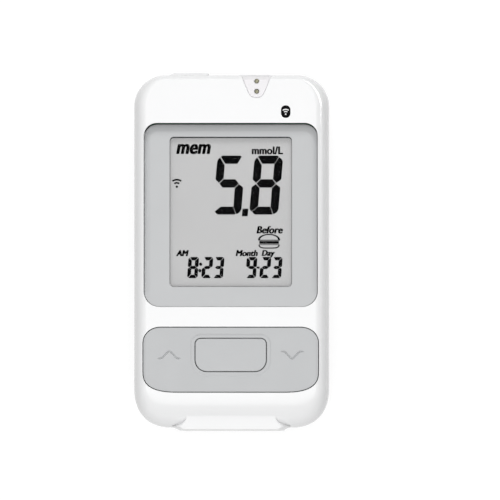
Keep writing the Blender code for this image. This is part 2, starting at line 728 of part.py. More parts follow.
def front_openings():
    """The openings in the face, lowest point and outline of each from the piece that fills it."""
    above = FACE_Z + CUT_OVERRUN
    middle = STRIP_PORT_OFFSET
    half = PORT_BLOCK_WIDTH / 2 + SEAT_GAP
    block = box(
        middle - half, middle + half, PORT_BLOCK_INSIDE - CUT_OVERRUN, SHELL_TOP + CUT_OVERRUN,
        PORT_BLOCK_UNDER - SEAT_GAP, PORT_PLATE_UNDER + SEAT_GAP,
    )
    return [
        prism(bezel_outline(FIT_GAP), BEZEL_UNDER - SEAT_GAP, above),
        prism(keypad_outline(KEY_GAP), FACE_Z - KEYPAD_DEPTH - KEYPAD_ROOM, above),
        prism(port_outline(SEAT_GAP, CUT_OVERRUN), PORT_PLATE_UNDER - SEAT_GAP, above),
        block,
    ]


def front_shell(material, parent):
    cavity = front_form(CASE_WALL, FACE_UNDER, REAR_DEPTH - CUT_OVERRUN)
    steps = [("UNION", lip()), ("DIFFERENCE", cavity), ("DIFFERENCE", lip_hollow())]
    steps += [("UNION", made) for made in front_inside()]
    rabbet = rim_ring(
        CASE_WALL - RIM_TONGUE_THICKNESS - FIT_GAP, CASE_WALL + SEAM_GAP,
        REAR_DEPTH - CUT_OVERRUN, REAR_DEPTH + RIM_TONGUE_HEIGHT + SEAM_GAP,
    )
    steps.append(("DIFFERENCE", rabbet))
    tip = SCREW_SEAT_DEPTH + SCREW_LENGTH + LOOSE_GAP
    for place in screw_places():
        hole = cylinder(SCREW_DIAMETER / 2 + SCREW_HOLE_GAP, REAR_DEPTH - CUT_OVERRUN, tip, place)
        steps.append(("DIFFERENCE", hole))
    steps += [("DIFFERENCE", made) for made in front_openings()]
    steps += data_port_cutters()
    made = carved(front_form(0.0, FACE_Z, FRONT_RIM), steps)
    return piece("front_shell", made, material, parent)


def rear_inside():
    """Battery bay, door rails, screw columns, board columns and the port's frame."""
    half = BAY_WIDTH / 2 + BAY_WALL
    ends = (BAY_Y_BOTTOM - BAY_WALL, BAY_Y_TOP + BAY_WALL)
    low = REAR_WALL / 2
    solids = [box(-half, half, *ends, low, BAY_TOP)]
    rail = GROOVE_HALF + DOOR_RAIL_WIDTH
    rail_end = DOOR_Y_TOP + DOOR_RAIL_WIDTH
    solids.append(box(-rail, rail, ends[0], rail_end, low, GROOVE_TOP + DOOR_RAIL_HEIGHT))
    for place in screw_places():
        solids.append(cylinder(COLUMN_DIAMETER / 2, low, REAR_RIM, place))
    for place in board_screw_places():
        column = cylinder(BOARD_COLUMN_DIAMETER / 2, low, BAY_TOP, place, SMALL_ROUND_SIDES)
        solids.append(column)
    frame_low = cover_ends()[0] - TRUNNION_LENGTH - PORT_FRAME_MARGIN
    solids.append(port_frame(frame_low, REAR_RIM - SEAT_GAP))
    limit = rear_form(CASE_WALL / 2, REAR_WALL / 4, BOARD_TOP)
    return [carved(made, [("INTERSECT", limit.copy())]) for made in solids]


def door_cutters():
    """The door's opening and grooves in the back wall, and the bay behind them."""
    below = -CUT_OVERRUN
    beyond = SHELL_BOTTOM - CUT_OVERRUN
    half = DOOR_WIDTH / 2 + FIT_GAP
    end_half = DOOR_END_WIDTH / 2 + FIT_GAP
    bay = BAY_WIDTH / 2
    top = DOOR_Y_TOP + FIT_GAP
    end_top = REAR_DEPTH + RIM_TONGUE_HEIGHT + CUT_OVERRUN
    return [
        box(-half, half, beyond, top, below, DOOR_THICKNESS),
        box(-GROOVE_HALF, GROOVE_HALF, beyond, top, TONGUE_UNDER - FIT_GAP, GROOVE_TOP),
        box(-bay, bay, BAY_Y_BOTTOM, BAY_Y_TOP, DOOR_THICKNESS, BAY_UNDER_ROOF),
        box(-end_half, end_half, beyond, END_CUT_Y, below, end_top),
    ]


def rear_shell(material, parent):
    cavity = rear_form(CASE_WALL, REAR_WALL, REAR_DEPTH + CUT_OVERRUN)
    steps = [("DIFFERENCE", cavity)]
    inner = CASE_WALL - FIT_GAP
    outer = CASE_WALL - RIM_TONGUE_THICKNESS
    low = REAR_RIM - RIM_TONGUE_HEIGHT
    steps.append(("UNION", rim_ring(outer, inner, low, REAR_DEPTH + RIM_TONGUE_HEIGHT)))
    steps += [("UNION", made) for made in rear_inside()]
    steps += [("DIFFERENCE", made) for made in door_cutters()]
    seat = SCREW_HEAD_DIAMETER / 2 + LOOSE_GAP
    shaft = SCREW_DIAMETER / 2 + LOOSE_GAP
    for place in screw_places():
        steps.append(("DIFFERENCE", cylinder(seat, -CUT_OVERRUN, SCREW_SEAT_DEPTH, place)))
        hole = cylinder(shaft, SCREW_SEAT_DEPTH - CUT_OVERRUN, REAR_DEPTH + CUT_OVERRUN, place)
        steps.append(("DIFFERENCE", hole))
    for place in board_screw_places():
        low = BOARD_TOP - BOARD_SCREW_LENGTH - LOOSE_GAP
        radius = BOARD_SCREW_DIAMETER / 2 + SCREW_HOLE_GAP
        hole = cylinder(radius, low, BOARD_TOP, place, SMALL_ROUND_SIDES)
        steps.append(("DIFFERENCE", hole))
    sound = cylinder(BUZZER_HOLE / 2, -CUT_OVERRUN, REAR_WALL + CUT_OVERRUN, buzzer_place())
    steps.append(("DIFFERENCE", sound))
    steps += data_port_cutters()
    made = carved(rear_form(0.0, 0.0, REAR_RIM), steps)
    return piece("rear_shell", made, material, parent)


def battery_door(material, parent):
    """A sliding door: a plate with side tongues and a curved end that fills the case's end."""
    beyond = SHELL_BOTTOM - LIP_PROUD - CUT_OVERRUN
    half, end_half = DOOR_WIDTH / 2, DOOR_END_WIDTH / 2
    tongue = half + DOOR_TONGUE_WIDTH
    plate = box(-half, half, beyond, DOOR_Y_TOP, -CUT_OVERRUN, DOOR_THICKNESS)
    tongues = box(-tongue, tongue, beyond, DOOR_Y_TOP, TONGUE_UNDER, DOOR_THICKNESS)
    end = box(-end_half, end_half, beyond, DOOR_END_INSIDE, -CUT_OVERRUN, REAR_DEPTH - LOOSE_GAP)
    form = rear_form(0.0, 0.0, REAR_DEPTH, LIP_PROUD)
    steps = [("UNION", tongues), ("UNION", end), ("INTERSECT", form)]
    for groove in range(GRIP_GROOVES):
        y = SHELL_BOTTOM + GRIP_FROM_END + groove * GRIP_PITCH
        width = GRIP_WIDTH / 2
        cut = box(-width, width, y, y + GRIP_GROOVE, -CUT_OVERRUN, GRIP_DEPTH)
        steps.append(("DIFFERENCE", cut))
    made = carved(plate, steps)
    return piece("battery_door", made, material, parent, (0.0, DOOR_Y_TOP, 0.0))


def port_cover(material, parent):
    """The data port's cover, which swings on two trunnions at its left end."""
    low, high = cover_ends()
    plate = prism(cover_outline(0.0, 0.0), low, high)
    ends = (low - TRUNNION_LENGTH, high + TRUNNION_LENGTH)
    hinge = cylinder(TRUNNION_RADIUS, *ends, (PIVOT_X, PIVOT_Y), SMALL_ROUND_SIDES)
    half, tall = PLUG_WIDTH / 2, PLUG_HEIGHT / 2
    middle = -DATA_PORT_FROM_MIDDLE
    plug = box(
        middle - half, middle + half, COVER_INSIDE - PLUG_DEPTH, COVER_OUTSIDE - KNUCKLE_RADIUS,
        DATA_PORT_Z - tall, DATA_PORT_Z + tall,
    )
    made = carved(plate, [("UNION", hinge), ("UNION", plug)])
    return piece("port_cover", made, material, parent, (PIVOT_X, PIVOT_Y, DATA_PORT_Z))


def strip_port_insert(material, parent):
    """The V on the face and the block round the strip slot, as one moulding."""
    middle = STRIP_PORT_OFFSET
    half = PORT_BLOCK_WIDTH / 2
    plate = prism(port_outline(0.0, CUT_OVERRUN), PORT_PLATE_UNDER, FACE_Z + CUT_OVERRUN)
    block = box(
        middle - half, middle + half, PORT_BLOCK_INSIDE, SHELL_TOP + CUT_OVERRUN,
        PORT_BLOCK_UNDER, PORT_PLATE_UNDER,
    )
    neck = box(
        middle - PORT_MOUTH_WIDTH / 3, middle + PORT_MOUTH_WIDTH / 3, PORT_BLOCK_INSIDE,
        SHELL_TOP + CUT_OVERRUN, PORT_PLATE_UNDER - SEAT_GAP, PORT_PLATE_UNDER + SEAT_GAP,
    )
    form = front_form(PORT_RECESS, FACE_Z - PORT_RECESS, REAR_DEPTH)
    slot = SLOT_WIDTH / 2
    mouth = box(
        middle - slot, middle + slot, PORT_BLOCK_INSIDE - CUT_OVERRUN, SHELL_TOP + CUT_OVERRUN,
        SLOT_UNDER, SLOT_UNDER + SLOT_HEIGHT,
    )
    steps = [("UNION", neck), ("UNION", block), ("INTERSECT", form), ("DIFFERENCE", mouth)]
    radius = PORT_PIN_DIAMETER / 2 + SEAT_GAP
    for place in port_pin_places():
        low = place[2] - SEAT_GAP
        hole = cylinder(radius, low, FACE_Z, place[:2], SMALL_ROUND_SIDES)
        steps.append(("DIFFERENCE", hole))
    return piece("strip_port_insert", carved(plate, steps), material, parent)


def port_pin_places():
    low = FACE_Z - PORT_RECESS + PORT_PIN_PROUD - PORT_PIN_LENGTH
    first = SHELL_TOP - PORT_PIN_FROM_TOP
    return [(STRIP_PORT_OFFSET, first - index * PORT_PIN_SPACING, low) for index in range(2)]


def port_pin():
    radius, length = PORT_PIN_DIAMETER / 2, PORT_PIN_LENGTH
    edge = radius / 4
    profile = [(radius, 0.0), (radius, length - edge), (radius - edge, length)]
    return turned(profile, SMALL_ROUND_SIDES)


# Display


def bezel_ring(outline, lift):
    """The outline raised onto the bezel's face, which sinks towards the strip port end."""
    fall = BEZEL_TOP_RECESS - BEZEL_BOTTOM_RECESS
    ring = []
    for x, y in outline:
        recess = BEZEL_BOTTOM_RECESS + fall * (y - BEZEL_Y_BOTTOM) / BEZEL_LENGTH
        ring.append((x, y, FACE_Z - recess + lift))
    return ring


def display_bezel(material, parent):
    """The grey frame that drops into the face and holds the lens from above."""
    plate = loft([ring_at(bezel_outline(0.0), BEZEL_UNDER), bezel_ring(bezel_outline(0.0), 0.0)])
    steps = [("INTERSECT", front_form(BEZEL_INSET, FACE_Z - BEZEL_INSET, REAR_DEPTH))]
    for side in (-1, 1):
        for edge, reach in ((BEZEL_Y_TOP, BEZEL_TONGUE_REACH), (BEZEL_Y_BOTTOM, -BEZEL_TONGUE_REACH)):
            x = side * BEZEL_TONGUE_OFFSET
            ends = sorted((edge - 2 * reach, edge + reach))
            half = BEZEL_TONGUE_WIDTH / 2
            top = BEZEL_UNDER + BEZEL_TONGUE_THICKNESS
            steps.append(("UNION", box(x - half, x + half, *ends, BEZEL_UNDER, top)))
    lens = prism(window_outline(LENS_MARGIN + FIT_GAP), BEZEL_UNDER - CUT_OVERRUN, LENS_TOP + SEAT_GAP)
    opening = loft([
        ring_at(window_outline(0.0), LENS_TOP - CUT_OVERRUN),
        bezel_ring(window_outline(0.0), -WINDOW_CHAMFER),
        bezel_ring(window_outline(WINDOW_CHAMFER), 0.0),
        bezel_ring(window_outline(WINDOW_CHAMFER), CUT_OVERRUN),
    ])
    steps += [("DIFFERENCE", lens), ("DIFFERENCE", opening)]
    return piece("display_bezel", carved(plate, steps), material, parent)


def display_lens(material, parent):
    edge = LENS_THICKNESS / 5
    made = loft([
        ring_at(window_outline(LENS_MARGIN), LENS_UNDER),
        ring_at(window_outline(LENS_MARGIN), LENS_TOP - edge),
        ring_at(window_outline(LENS_MARGIN - edge), LENS_TOP),
    ])
    return piece("display_lens", made, material, parent)


def lcd_ends():
    """Left, right, bottom and top of the display's lower glass."""
    half = WINDOW_WIDTH / 2 + LCD_MARGIN
    return -half, half, WINDOW_Y_BOTTOM - LCD_MARGIN - LCD_LEDGE, WINDOW_Y_TOP + LCD_MARGIN


def lcd_panel(material, parent):
    """Two sheets of glass, the lower one longer, where its contacts meet the rubber strip."""
    left, right, bottom, top = lcd_ends()
    split = LCD_UNDER + LCD_THICKNESS * LCD_GLASS_SHARE
    lower = box(left, right, bottom, top, LCD_UNDER, split)
    upper = box(left, right, bottom + LCD_LEDGE, top, split - SEAT_GAP, LCD_TOP)
    return piece("lcd_panel", joined([lower, upper]), material, parent)


def zebra_ends():
    left, right, bottom, top = lcd_ends()
    low = bottom + FIT_GAP
    return left + ZEBRA_FROM_SIDE, right - ZEBRA_FROM_SIDE, low, low + ZEBRA_DEPTH


def zebra_strip(material, parent):
    made = box(*zebra_ends(), ZEBRA_UNDER, ZEBRA_UNDER + ZEBRA_HEIGHT)
    return piece("zebra_strip", made, material, parent)


def lcd_holder(material, parent):
    """The frame on the board that centres the display and the rubber strip."""
    left, right, bottom, top = lcd_ends()
    gap, wall, ledge = FIT_GAP, HOLDER_WALL, HOLDER_LEDGE
    outside = box(
        left - gap - wall, right + gap + wall, bottom - gap - wall, top + gap + wall,
        ZEBRA_UNDER, LCD_TOP,
    )
    seat = box(
        left - gap, right + gap, bottom - gap, top + gap,
        LCD_UNDER - SEAT_GAP, LCD_TOP + CUT_OVERRUN,
    )
    zebra_left, zebra_right, zebra_bottom, zebra_top = zebra_ends()
    inside = box(
        left + ledge, right - ledge, zebra_top + gap + ledge, top - ledge,
        ZEBRA_UNDER - CUT_OVERRUN, LCD_TOP + CUT_OVERRUN,
    )
    slot = box(
        zebra_left - gap, zebra_right + gap, zebra_bottom - gap, zebra_top + gap,
        ZEBRA_UNDER - CUT_OVERRUN, LCD_TOP + CUT_OVERRUN,
    )
    made = carved(outside, [("DIFFERENCE", cut) for cut in (seat, inside, slot)])
    return piece("lcd_holder", made, material, parent)


# Keys


def stroke_outline(line, width):
    """The outline of a line drawn this wide, with mitred bends."""
    left, right = [], []
    for index, (x, y) in enumerate(line):
        here = Vector((x, y))
        before = (here - Vector(line[index - 1])).normalized() if index else None
        after = (Vector(line[index + 1]) - here).normalized() if index + 1 < len(line) else None
        across = [Vector((-way.y, way.x)) for way in (before, after) if way]
        normal = sum(across, Vector((0.0, 0.0))).normalized()
        reach = normal * width / 2 / normal.dot(across[0])
        left.append(here + reach)
        right.append(here - reach)
    return [tuple(point) for point in right + left[::-1]]


def arrow(x, upwards):
    """A chevron with short level tails."""
    half, tall = ARROW_WIDTH / 2, ARROW_HEIGHT / 2
    sign = 1 if upwards else -1
    line = [(-half - ARROW_TAIL, -tall), (-half, -tall), (0.0, tall), (half, -tall)]
    line.append((half + ARROW_TAIL, -tall))
    placed = [(x + sign * px, BUTTON_Y + sign * py) for px, py in line]
    return stroke_outline(placed, ARROW_STROKE)


def rocker_key(material, parent):
    """The wide key that rocks about its two fulcrum feet, with the hole for the button."""
    above = FACE_Z + CUT_OVERRUN
    low = FACE_Z - KEYPAD_DEPTH
    skin = FACE_Z - KEYPAD_SKIN
    surface = front_form(0.0, FACE_Z, REAR_DEPTH)
    steps = [("INTERSECT", surface)]
    steps.append(("DIFFERENCE", prism(keypad_outline(-KEYPAD_WALL), low - CUT_OVERRUN, skin)))
    tongue_half = KEYPAD_TONGUE_WIDTH / 2
    tongue_top = FACE_Z - KEYPAD_TONGUE_DROP
    for edge, reach in ((KEYPAD_Y_TOP, KEYPAD_TONGUE_REACH), (KEYPAD_Y_BOTTOM, -KEYPAD_TONGUE_REACH)):
        sign = math.copysign(1.0, reach)
        ends = sorted((edge - sign * KEYPAD_WALL / 2, edge + reach))
        tongue = box(-tongue_half, tongue_half, *ends, tongue_top - KEYPAD_TONGUE_THICKNESS, tongue_top)
        steps.append(("UNION", tongue))
    foot = BOARD_TOP + SEAT_GAP
    clear = BUTTON_FLANGE_REACH + KEY_GAP + LOOSE_GAP
    rib = FULCRUM_THICKNESS / 2
    for first, last in (
        (BUTTON_Y_TOP + clear, KEYPAD_Y_TOP - KEYPAD_WALL / 2),
        (KEYPAD_Y_BOTTOM + KEYPAD_WALL / 2, BUTTON_Y_BOTTOM - clear),
    ):
        profile = [(-rib / 2, foot), (rib / 2, foot), (rib, foot + rib), (rib, skin + SEAT_GAP)]
        profile += [(-rib, skin + SEAT_GAP), (-rib, foot + rib)]
        made = bmesh.new()
        near = [made.verts.new((x, first, z)) for x, z in profile]
        far = [made.verts.new((x, last, z)) for x, z in profile]
        for i in range(len(profile)):
            j = (i + 1) % len(profile)
            made.faces.new((near[i], near[j], far[j], far[i]))
        made.faces.new(near[::-1])
        made.faces.new(far)
        bmesh.ops.recalc_face_normals(made, faces=made.faces)
        steps.append(("UNION", made))
    for side in (-1, 1):
        post_low = DOME_TOP + ROCKER_POST_GAP
        place = (side * ARROW_FROM_MIDDLE, BUTTON_Y)
        post = cylinder(POST_DIAMETER / 2, post_low, skin + SEAT_GAP, place, SMALL_ROUND_SIDES)
        steps.append(("UNION", post))
    dish = prism(button_outline(KEY_GAP + KEYPAD_DISH_WIDTH), FACE_Z - KEYPAD_DISH_DEPTH, above)
    steps.append(("DIFFERENCE", dish))
    steps.append(("DIFFERENCE", prism(button_outline(KEY_GAP), low - CUT_OVERRUN, above)))
    for side, upwards in ((-1, True), (1, False)):
        mark = prism(arrow(side * ARROW_FROM_MIDDLE, upwards), FACE_Z - ARROW_DEPTH, above)
        steps.append(("DIFFERENCE", mark))
    made = carved(prism(keypad_outline(0.0), low, above), steps)
    return piece("rocker_key", made, material, parent, (0.0, BUTTON_Y, foot))


def main_button(material, parent):
    """The round-cornered middle button: cap, flange under the rocker and post over its dome."""
    top = FACE_Z - KEYPAD_DISH_DEPTH
    edge = KEYPAD_DISH_DEPTH
    skin = top - BUTTON_SKIN
    flange_top = FACE_Z - KEYPAD_SKIN - BUTTON_FLANGE_GAP
    flange_low = flange_top - BUTTON_FLANGE_THICKNESS
    cap = loft([
        ring_at(button_outline(0.0), flange_low + SEAT_GAP),
        ring_at(button_outline(0.0), top - edge),
        ring_at(button_outline(-edge), top),
    ])
    flange = prism(button_outline(KEY_GAP + BUTTON_FLANGE_REACH), flange_low, flange_top)
    hollow = prism(button_outline(-BUTTON_WALL), flange_low - CUT_OVERRUN, skin)
    post_low = DOME_TOP + BUTTON_POST_GAP
    post = cylinder(POST_DIAMETER / 2, post_low, skin + SEAT_GAP, (0.0, BUTTON_Y), SMALL_ROUND_SIDES)
    made = carved(cap, [("UNION", flange), ("DIFFERENCE", hollow), ("UNION", post)])
    return piece("main_button", made, material, parent, (0.0, BUTTON_Y, top))


# Circuit board and what it carries


def circuit_board(material, parent):
    """The board: full width under the display and keys, narrower at both ends beside the bosses."""
    shoulder_top = BOARD_Y_TOP - BOARD_SHOULDER
    shoulder_low = SHELL_BOTTOM + BOTTOM_SCREW_FROM_END + BOSS_DIAMETER / 2 + LOOSE_GAP + BOARD_CORNER
    head, foot, full = BOARD_HEAD_WIDTH / 2, BOARD_FOOT_WIDTH / 2, BOARD_WIDTH / 2
    side = [
        (foot, BOARD_Y_BOTTOM), (foot, shoulder_low), (full, shoulder_low),
        (full, shoulder_top), (head, shoulder_top), (head, BOARD_Y_TOP),
    ]
    outline = side + [(-x, y) for x, y in reversed(side)]
    made = prism(outline, BOARD_UNDER, BOARD_TOP)
    upright = [
        edge for edge in made.edges
        if abs(edge.verts[0].co.z - edge.verts[1].co.z) > BOARD_THICKNESS / 2
    ]
    bmesh.ops.bevel(
        made, geom=upright, offset=BOARD_CORNER, segments=2, affect="EDGES", profile=0.5
    )
    steps = []
    for place in board_screw_places():
        radius = BOARD_SCREW_DIAMETER / 2 + SCREW_HOLE_GAP
        ends = (BOARD_UNDER - CUT_OVERRUN, BOARD_TOP + CUT_OVERRUN)
        steps.append(("DIFFERENCE", cylinder(radius, *ends, place, SMALL_ROUND_SIDES)))
    return piece("circuit_board", carved(made, steps), material, parent)


def snap_dome():
    """A shallow round dome around its own middle."""
    radius = DOME_DIAMETER / 2
    profile_shares = [(1.0, 0.0), (1.0, 0.2), (0.75, 0.7), (0.4, 1.0)]
    profile = [(radius * across, DOME_HEIGHT * up) for across, up in profile_shares]
    return turned(profile, SMALL_ROUND_SIDES)


def chamfered_block(width, length, high, edge):
    half, tall = width / 2, length / 2
    return loft([
        ring_at(box_outline(-half, half, -tall, tall), 0.0),
        ring_at(box_outline(-half, half, -tall, tall), high - edge),
        ring_at(box_outline(-half + edge, half - edge, -tall + edge, tall - edge), high),
    ])


def hung_under_board(made):
    """The same block turned over, so that it hangs from the board's under face."""
    made.transform(Matrix.Rotation(math.pi, 4, "Y"))
    return moved(made, z=BOARD_UNDER - SEAT_GAP)


def buzzer_place():
    return 0.0, BAY_Y_TOP + BAY_WALL + DOOR_RAIL_WIDTH + BUZZER_DIAMETER


def processor_chip(material, parent):
    made = chamfered_block(CHIP_SIZE, CHIP_SIZE, CHIP_HEIGHT, CHIP_HEIGHT / 5)
    made = hung_under_board(made)
    x, y = buzzer_place()
    moved(made, x + BUZZER_DIAMETER / 2 + CHIP_SIZE, y)
    return piece("processor_chip", made, material, parent)


def radio_module(material, parent):
    made = chamfered_block(RADIO_WIDTH, RADIO_LENGTH, RADIO_HEIGHT, RADIO_HEIGHT / 6)
    made = hung_under_board(made)
    x, y = buzzer_place()
    moved(made, x - BUZZER_DIAMETER / 2 - CHIP_SIZE, y)
    return piece("radio_module", made, material, parent)


def buzzer(material, parent):
    radius = BUZZER_DIAMETER / 2
    edge = radius / 10
    profile = [(radius, 0.0), (radius, BUZZER_HEIGHT - edge), (radius - edge, BUZZER_HEIGHT)]
    made = hung_under_board(turned(profile, ROUND_SIDES))
    ends = (BOARD_UNDER - 2 * BUZZER_HEIGHT, BOARD_UNDER - BUZZER_HEIGHT / 2)
    mouth = cylinder(edge, *ends, (0.0, 0.0), SMALL_ROUND_SIDES)
    made = carved(made, [("DIFFERENCE", mouth)])
    return piece("buzzer", moved(made, *buzzer_place()), material, parent)


def leaf_places():
    middle = (CONTACT_COUNT - 1) / 2
    return [STRIP_PORT_OFFSET + (index - middle) * CONTACT_PITCH for index in range(CONTACT_COUNT)]


def connector_ends():
    high = PORT_BLOCK_INSIDE - LOOSE_GAP
    return high - CONNECTOR_LENGTH, high


def strip_connector(material, parent):
    """The socket on the board that takes the test strip, with a channel for each contact."""
    low, high = connector_ends()
    middle = STRIP_PORT_OFFSET
    half, slot = CONNECTOR_WIDTH / 2, SLOT_WIDTH / 2
    bottom = BOARD_TOP + SEAT_GAP
    body = box(middle - half, middle + half, low, high, bottom, bottom + CONNECTOR_HEIGHT)
    pocket = box(
        middle - slot, middle + slot, low + CONNECTOR_BACK_WALL, high + CUT_OVERRUN,
        SLOT_UNDER, SLOT_UNDER + SLOT_HEIGHT,
    )
    steps = [("DIFFERENCE", pocket)]
    channel = LEAF_CHANNEL / 2
    for x in leaf_places():
        cut = box(
            x - channel, x + channel, low - CUT_OVERRUN, high - CONNECTOR_BACK_WALL,
            bottom - CUT_OVERRUN, SLOT_UNDER + SLOT_HEIGHT / 2,
        )
        steps.append(("DIFFERENCE", cut))
    return piece("strip_connector", carved(body, steps), material, parent)


def strip_contact(x, name, material, parent):
    """A sprung leaf: a foot on the board, a rise and a bowed tip that presses on the strip."""
    low, high = connector_ends()
    foot = BOARD_TOP + SEAT_GAP
    rise = SLOT_UNDER + LEAF_RISE - LEAF_THICKNESS - foot
    span = high - CONNECTOR_BACK_WALL - LOOSE_GAP - low
    leaf_shares = [(0.2, 0.0), (0.5, 0.5), (0.75, 1.0), (0.875, 1.0), (1.0, 0.5)]
    centre = [(low - LEAF_TAIL, foot)]
    centre += [(low + span * along, foot + rise * up) for along, up in leaf_shares]
    half = LEAF_WIDTH / 2
    rings = []
    for y, z in centre:
        corners = [(x - half, y, z), (x - half, y, z + LEAF_THICKNESS)]
        corners += [(x + half, y, z + LEAF_THICKNESS), (x + half, y, z)]
        rings.append(corners)
    return piece(name, loft(rings), material, parent)


def data_socket(material, parent):
    """A sheet-metal socket under the board with its tongue inside."""
    middle = -DATA_PORT_FROM_MIDDLE
    half, tall = DATA_SOCKET_WIDTH / 2, DATA_SOCKET_HEIGHT / 2
    wall = DATA_SOCKET_WALL
    high = PORT_FRAME_INSIDE + PORT_FRAME_DEPTH / 2
    low = high - DATA_SOCKET_LENGTH

    def shell(inset, first, last):
        corner_size = DATA_SOCKET_CORNER - inset / 2
        outline = rounded_box(-half + inset, half - inset, -tall + inset, tall - inset, corner_size, 3)
        made = laid_along_y(prism([(x, -y) for x, y in reversed(outline)], first, last))
        return moved(made, middle, 0.0, DATA_PORT_Z)

    tongue_half, tongue_tall = half / 2, DATA_TONGUE_HEIGHT / 2
    tongue = box(
        middle - tongue_half, middle + tongue_half, low + wall / 2, high - 2 * wall,
        DATA_PORT_Z - tongue_tall, DATA_PORT_Z + tongue_tall,
    )
    steps = [("DIFFERENCE", shell(wall, low + wall, high + CUT_OVERRUN)), ("UNION", tongue)]
    return piece("data_socket", carved(shell(0.0, low, high), steps), material, parent)


# Batteries and their contacts


def cell():
    """A battery along +Y with its plus end up the axis, starting at its minus end."""
    radius, nub = CELL_DIAMETER / 2, CELL_NUB_DIAMETER / 2
    body = CELL_LENGTH - CELL_NUB_HEIGHT
    edge = CELL_EDGE
    profile = [
        (radius - edge, 0.0), (radius, edge), (radius, body - edge), (radius - edge, body),
        (nub, body), (nub, CELL_LENGTH - edge), (nub - edge, CELL_LENGTH),
    ]
    return laid_along_y(turned(profile, ROUND_SIDES))


def contact_faces():
    """The inner faces of the contact plates at the bay's two ends."""
    depth = FIT_GAP + CONTACT_THICKNESS
    return BAY_Y_BOTTOM + depth, BAY_Y_TOP - depth


def contact_plate(name, left, right, at_top, material, parent):
    low, high = contact_faces()
    ends = (high, high + CONTACT_THICKNESS) if at_top else (low - CONTACT_THICKNESS, low)
    half = CONTACT_HEIGHT / 2
    made = box(left, right, *ends, CELL_AXIS_Z - half, CELL_AXIS_Z + half)
    return piece(name, made, material, parent)


def coil_points(length):
    """Points of a cone-shaped coil from its wide end at 0 to its narrow end at length."""
    wire = SPRING_WIRE / 2
    count = round(SPRING_TURNS * SPRING_POINTS_PER_TURN)
    points = []
    for index in range(count + 1):
        share = index / count
        angle = 2 * math.pi * SPRING_TURNS * share
        across = SPRING_BASE_DIAMETER + (SPRING_TIP_DIAMETER - SPRING_BASE_DIAMETER) * share
        radius = across / 2 - wire
        along = wire + (length - 2 * wire) * share
        points.append(Vector((radius * math.cos(angle), along, radius * math.sin(angle))))
    return points


def least_gap(points):
    """The least gap between the coil's turns, measured on its points."""
    near = SPRING_POINTS_PER_TURN // 2
    distances = [
        (first - second).length
        for index, first in enumerate(points)
        for second in points[index + near:]
    ]
    return min(distances) - SPRING_WIRE


def battery_spring(name, x, y, direction, length, material, parent):
    """One unbroken wire with filled ends, its wide end at y."""
    points = coil_points(length)
    print(name, "least gap between turns, m:", round(least_gap(points), 5))
    curve = bpy.data.curves.new(name, "CURVE")
    curve.dimensions = "3D"
    curve.bevel_depth = SPRING_WIRE / 2
    curve.bevel_resolution = 1
    curve.use_fill_caps = True
    spline = curve.splines.new("POLY")
    spline.points.add(len(points) - 1)
    for point, place in zip(spline.points, points):
        point.co = (place.x, direction * place.y, place.z, 1.0)
    thing = bpy.data.objects.new(name, curve)
    bpy.context.scene.collection.objects.link(thing)
    thing.location = (x, y, CELL_AXIS_Z)
    thing.parent = parent
    curve.materials.append(material)
    return thing


def batteries_and_contacts(cell_finish, spring_finish, parent):
    low, high = contact_faces()
    x = CELL_SPACING / 2
    half = CONTACT_WIDTH / 2
    left = piece("battery_left", cell(), cell_finish, parent)
    left.location = (-x, high - SEAT_GAP - CELL_LENGTH, CELL_AXIS_Z)
    right = bpy.data.objects.new("battery_right", left.data)
    bpy.context.scene.collection.objects.link(right)
    right.parent = parent
    right.location = (x, low + SEAT_GAP + CELL_LENGTH, CELL_AXIS_Z)
    right.rotation_euler = (0.0, 0.0, math.pi)
    contact_plate("contact_bridge", -x - half, x + half, False, spring_finish, parent)
    contact_plate("contact_plus", -x - half, -x + half, True, spring_finish, parent)
    contact_plate("contact_minus", x - half, x + half, True, spring_finish, parent)
    room = high - low - CELL_LENGTH - SEAT_GAP
    length = room - 2 * SEAT_GAP
    battery_spring("battery_spring_left", -x, low + SEAT_GAP, 1, length, spring_finish, parent)
    battery_spring("battery_spring_right", x, high - SEAT_GAP, -1, length, spring_finish, parent)


# Screws


def screw(diameter, length, head_diameter, head_height):
    """A screw pointing up from the underside of its head at 0, with a cross recess in the head."""
    radius, head = diameter / 2, head_diameter / 2
    edge = head_height / 3
    profile = [
        (head - edge, -head_height), (head, -head_height + edge), (head, 0.0),
        (radius, 0.0), (radius, length - radius), (radius / 2, length),
    ]
    body = turned(profile, SMALL_ROUND_SIDES)
    reach, half = SCREW_RECESS * head_diameter / SCREW_HEAD_DIAMETER / 2, SCREW_RECESS_WIDTH / 2
    depth = -head_height + SCREW_RECESS_DEPTH * head_height / SCREW_HEAD_HEIGHT
    bars = [
        box(-reach, reach, -half, half, -2 * head_height, depth),
        box(-half, half, -reach, reach, -2 * head_height, depth),
    ]
    return carved(body, [("DIFFERENCE", bar) for bar in bars])


def case_screw():
    return screw(SCREW_DIAMETER, SCREW_LENGTH, SCREW_HEAD_DIAMETER, SCREW_HEAD_HEIGHT)


def board_screw():
    head = (BOARD_SCREW_HEAD_DIAMETER, BOARD_SCREW_HEAD_HEIGHT)
    made = screw(BOARD_SCREW_DIAMETER, BOARD_SCREW_LENGTH, *head)
    made.transform(Matrix.Rotation(math.pi, 4, "X"))
    return made


# The whole meter


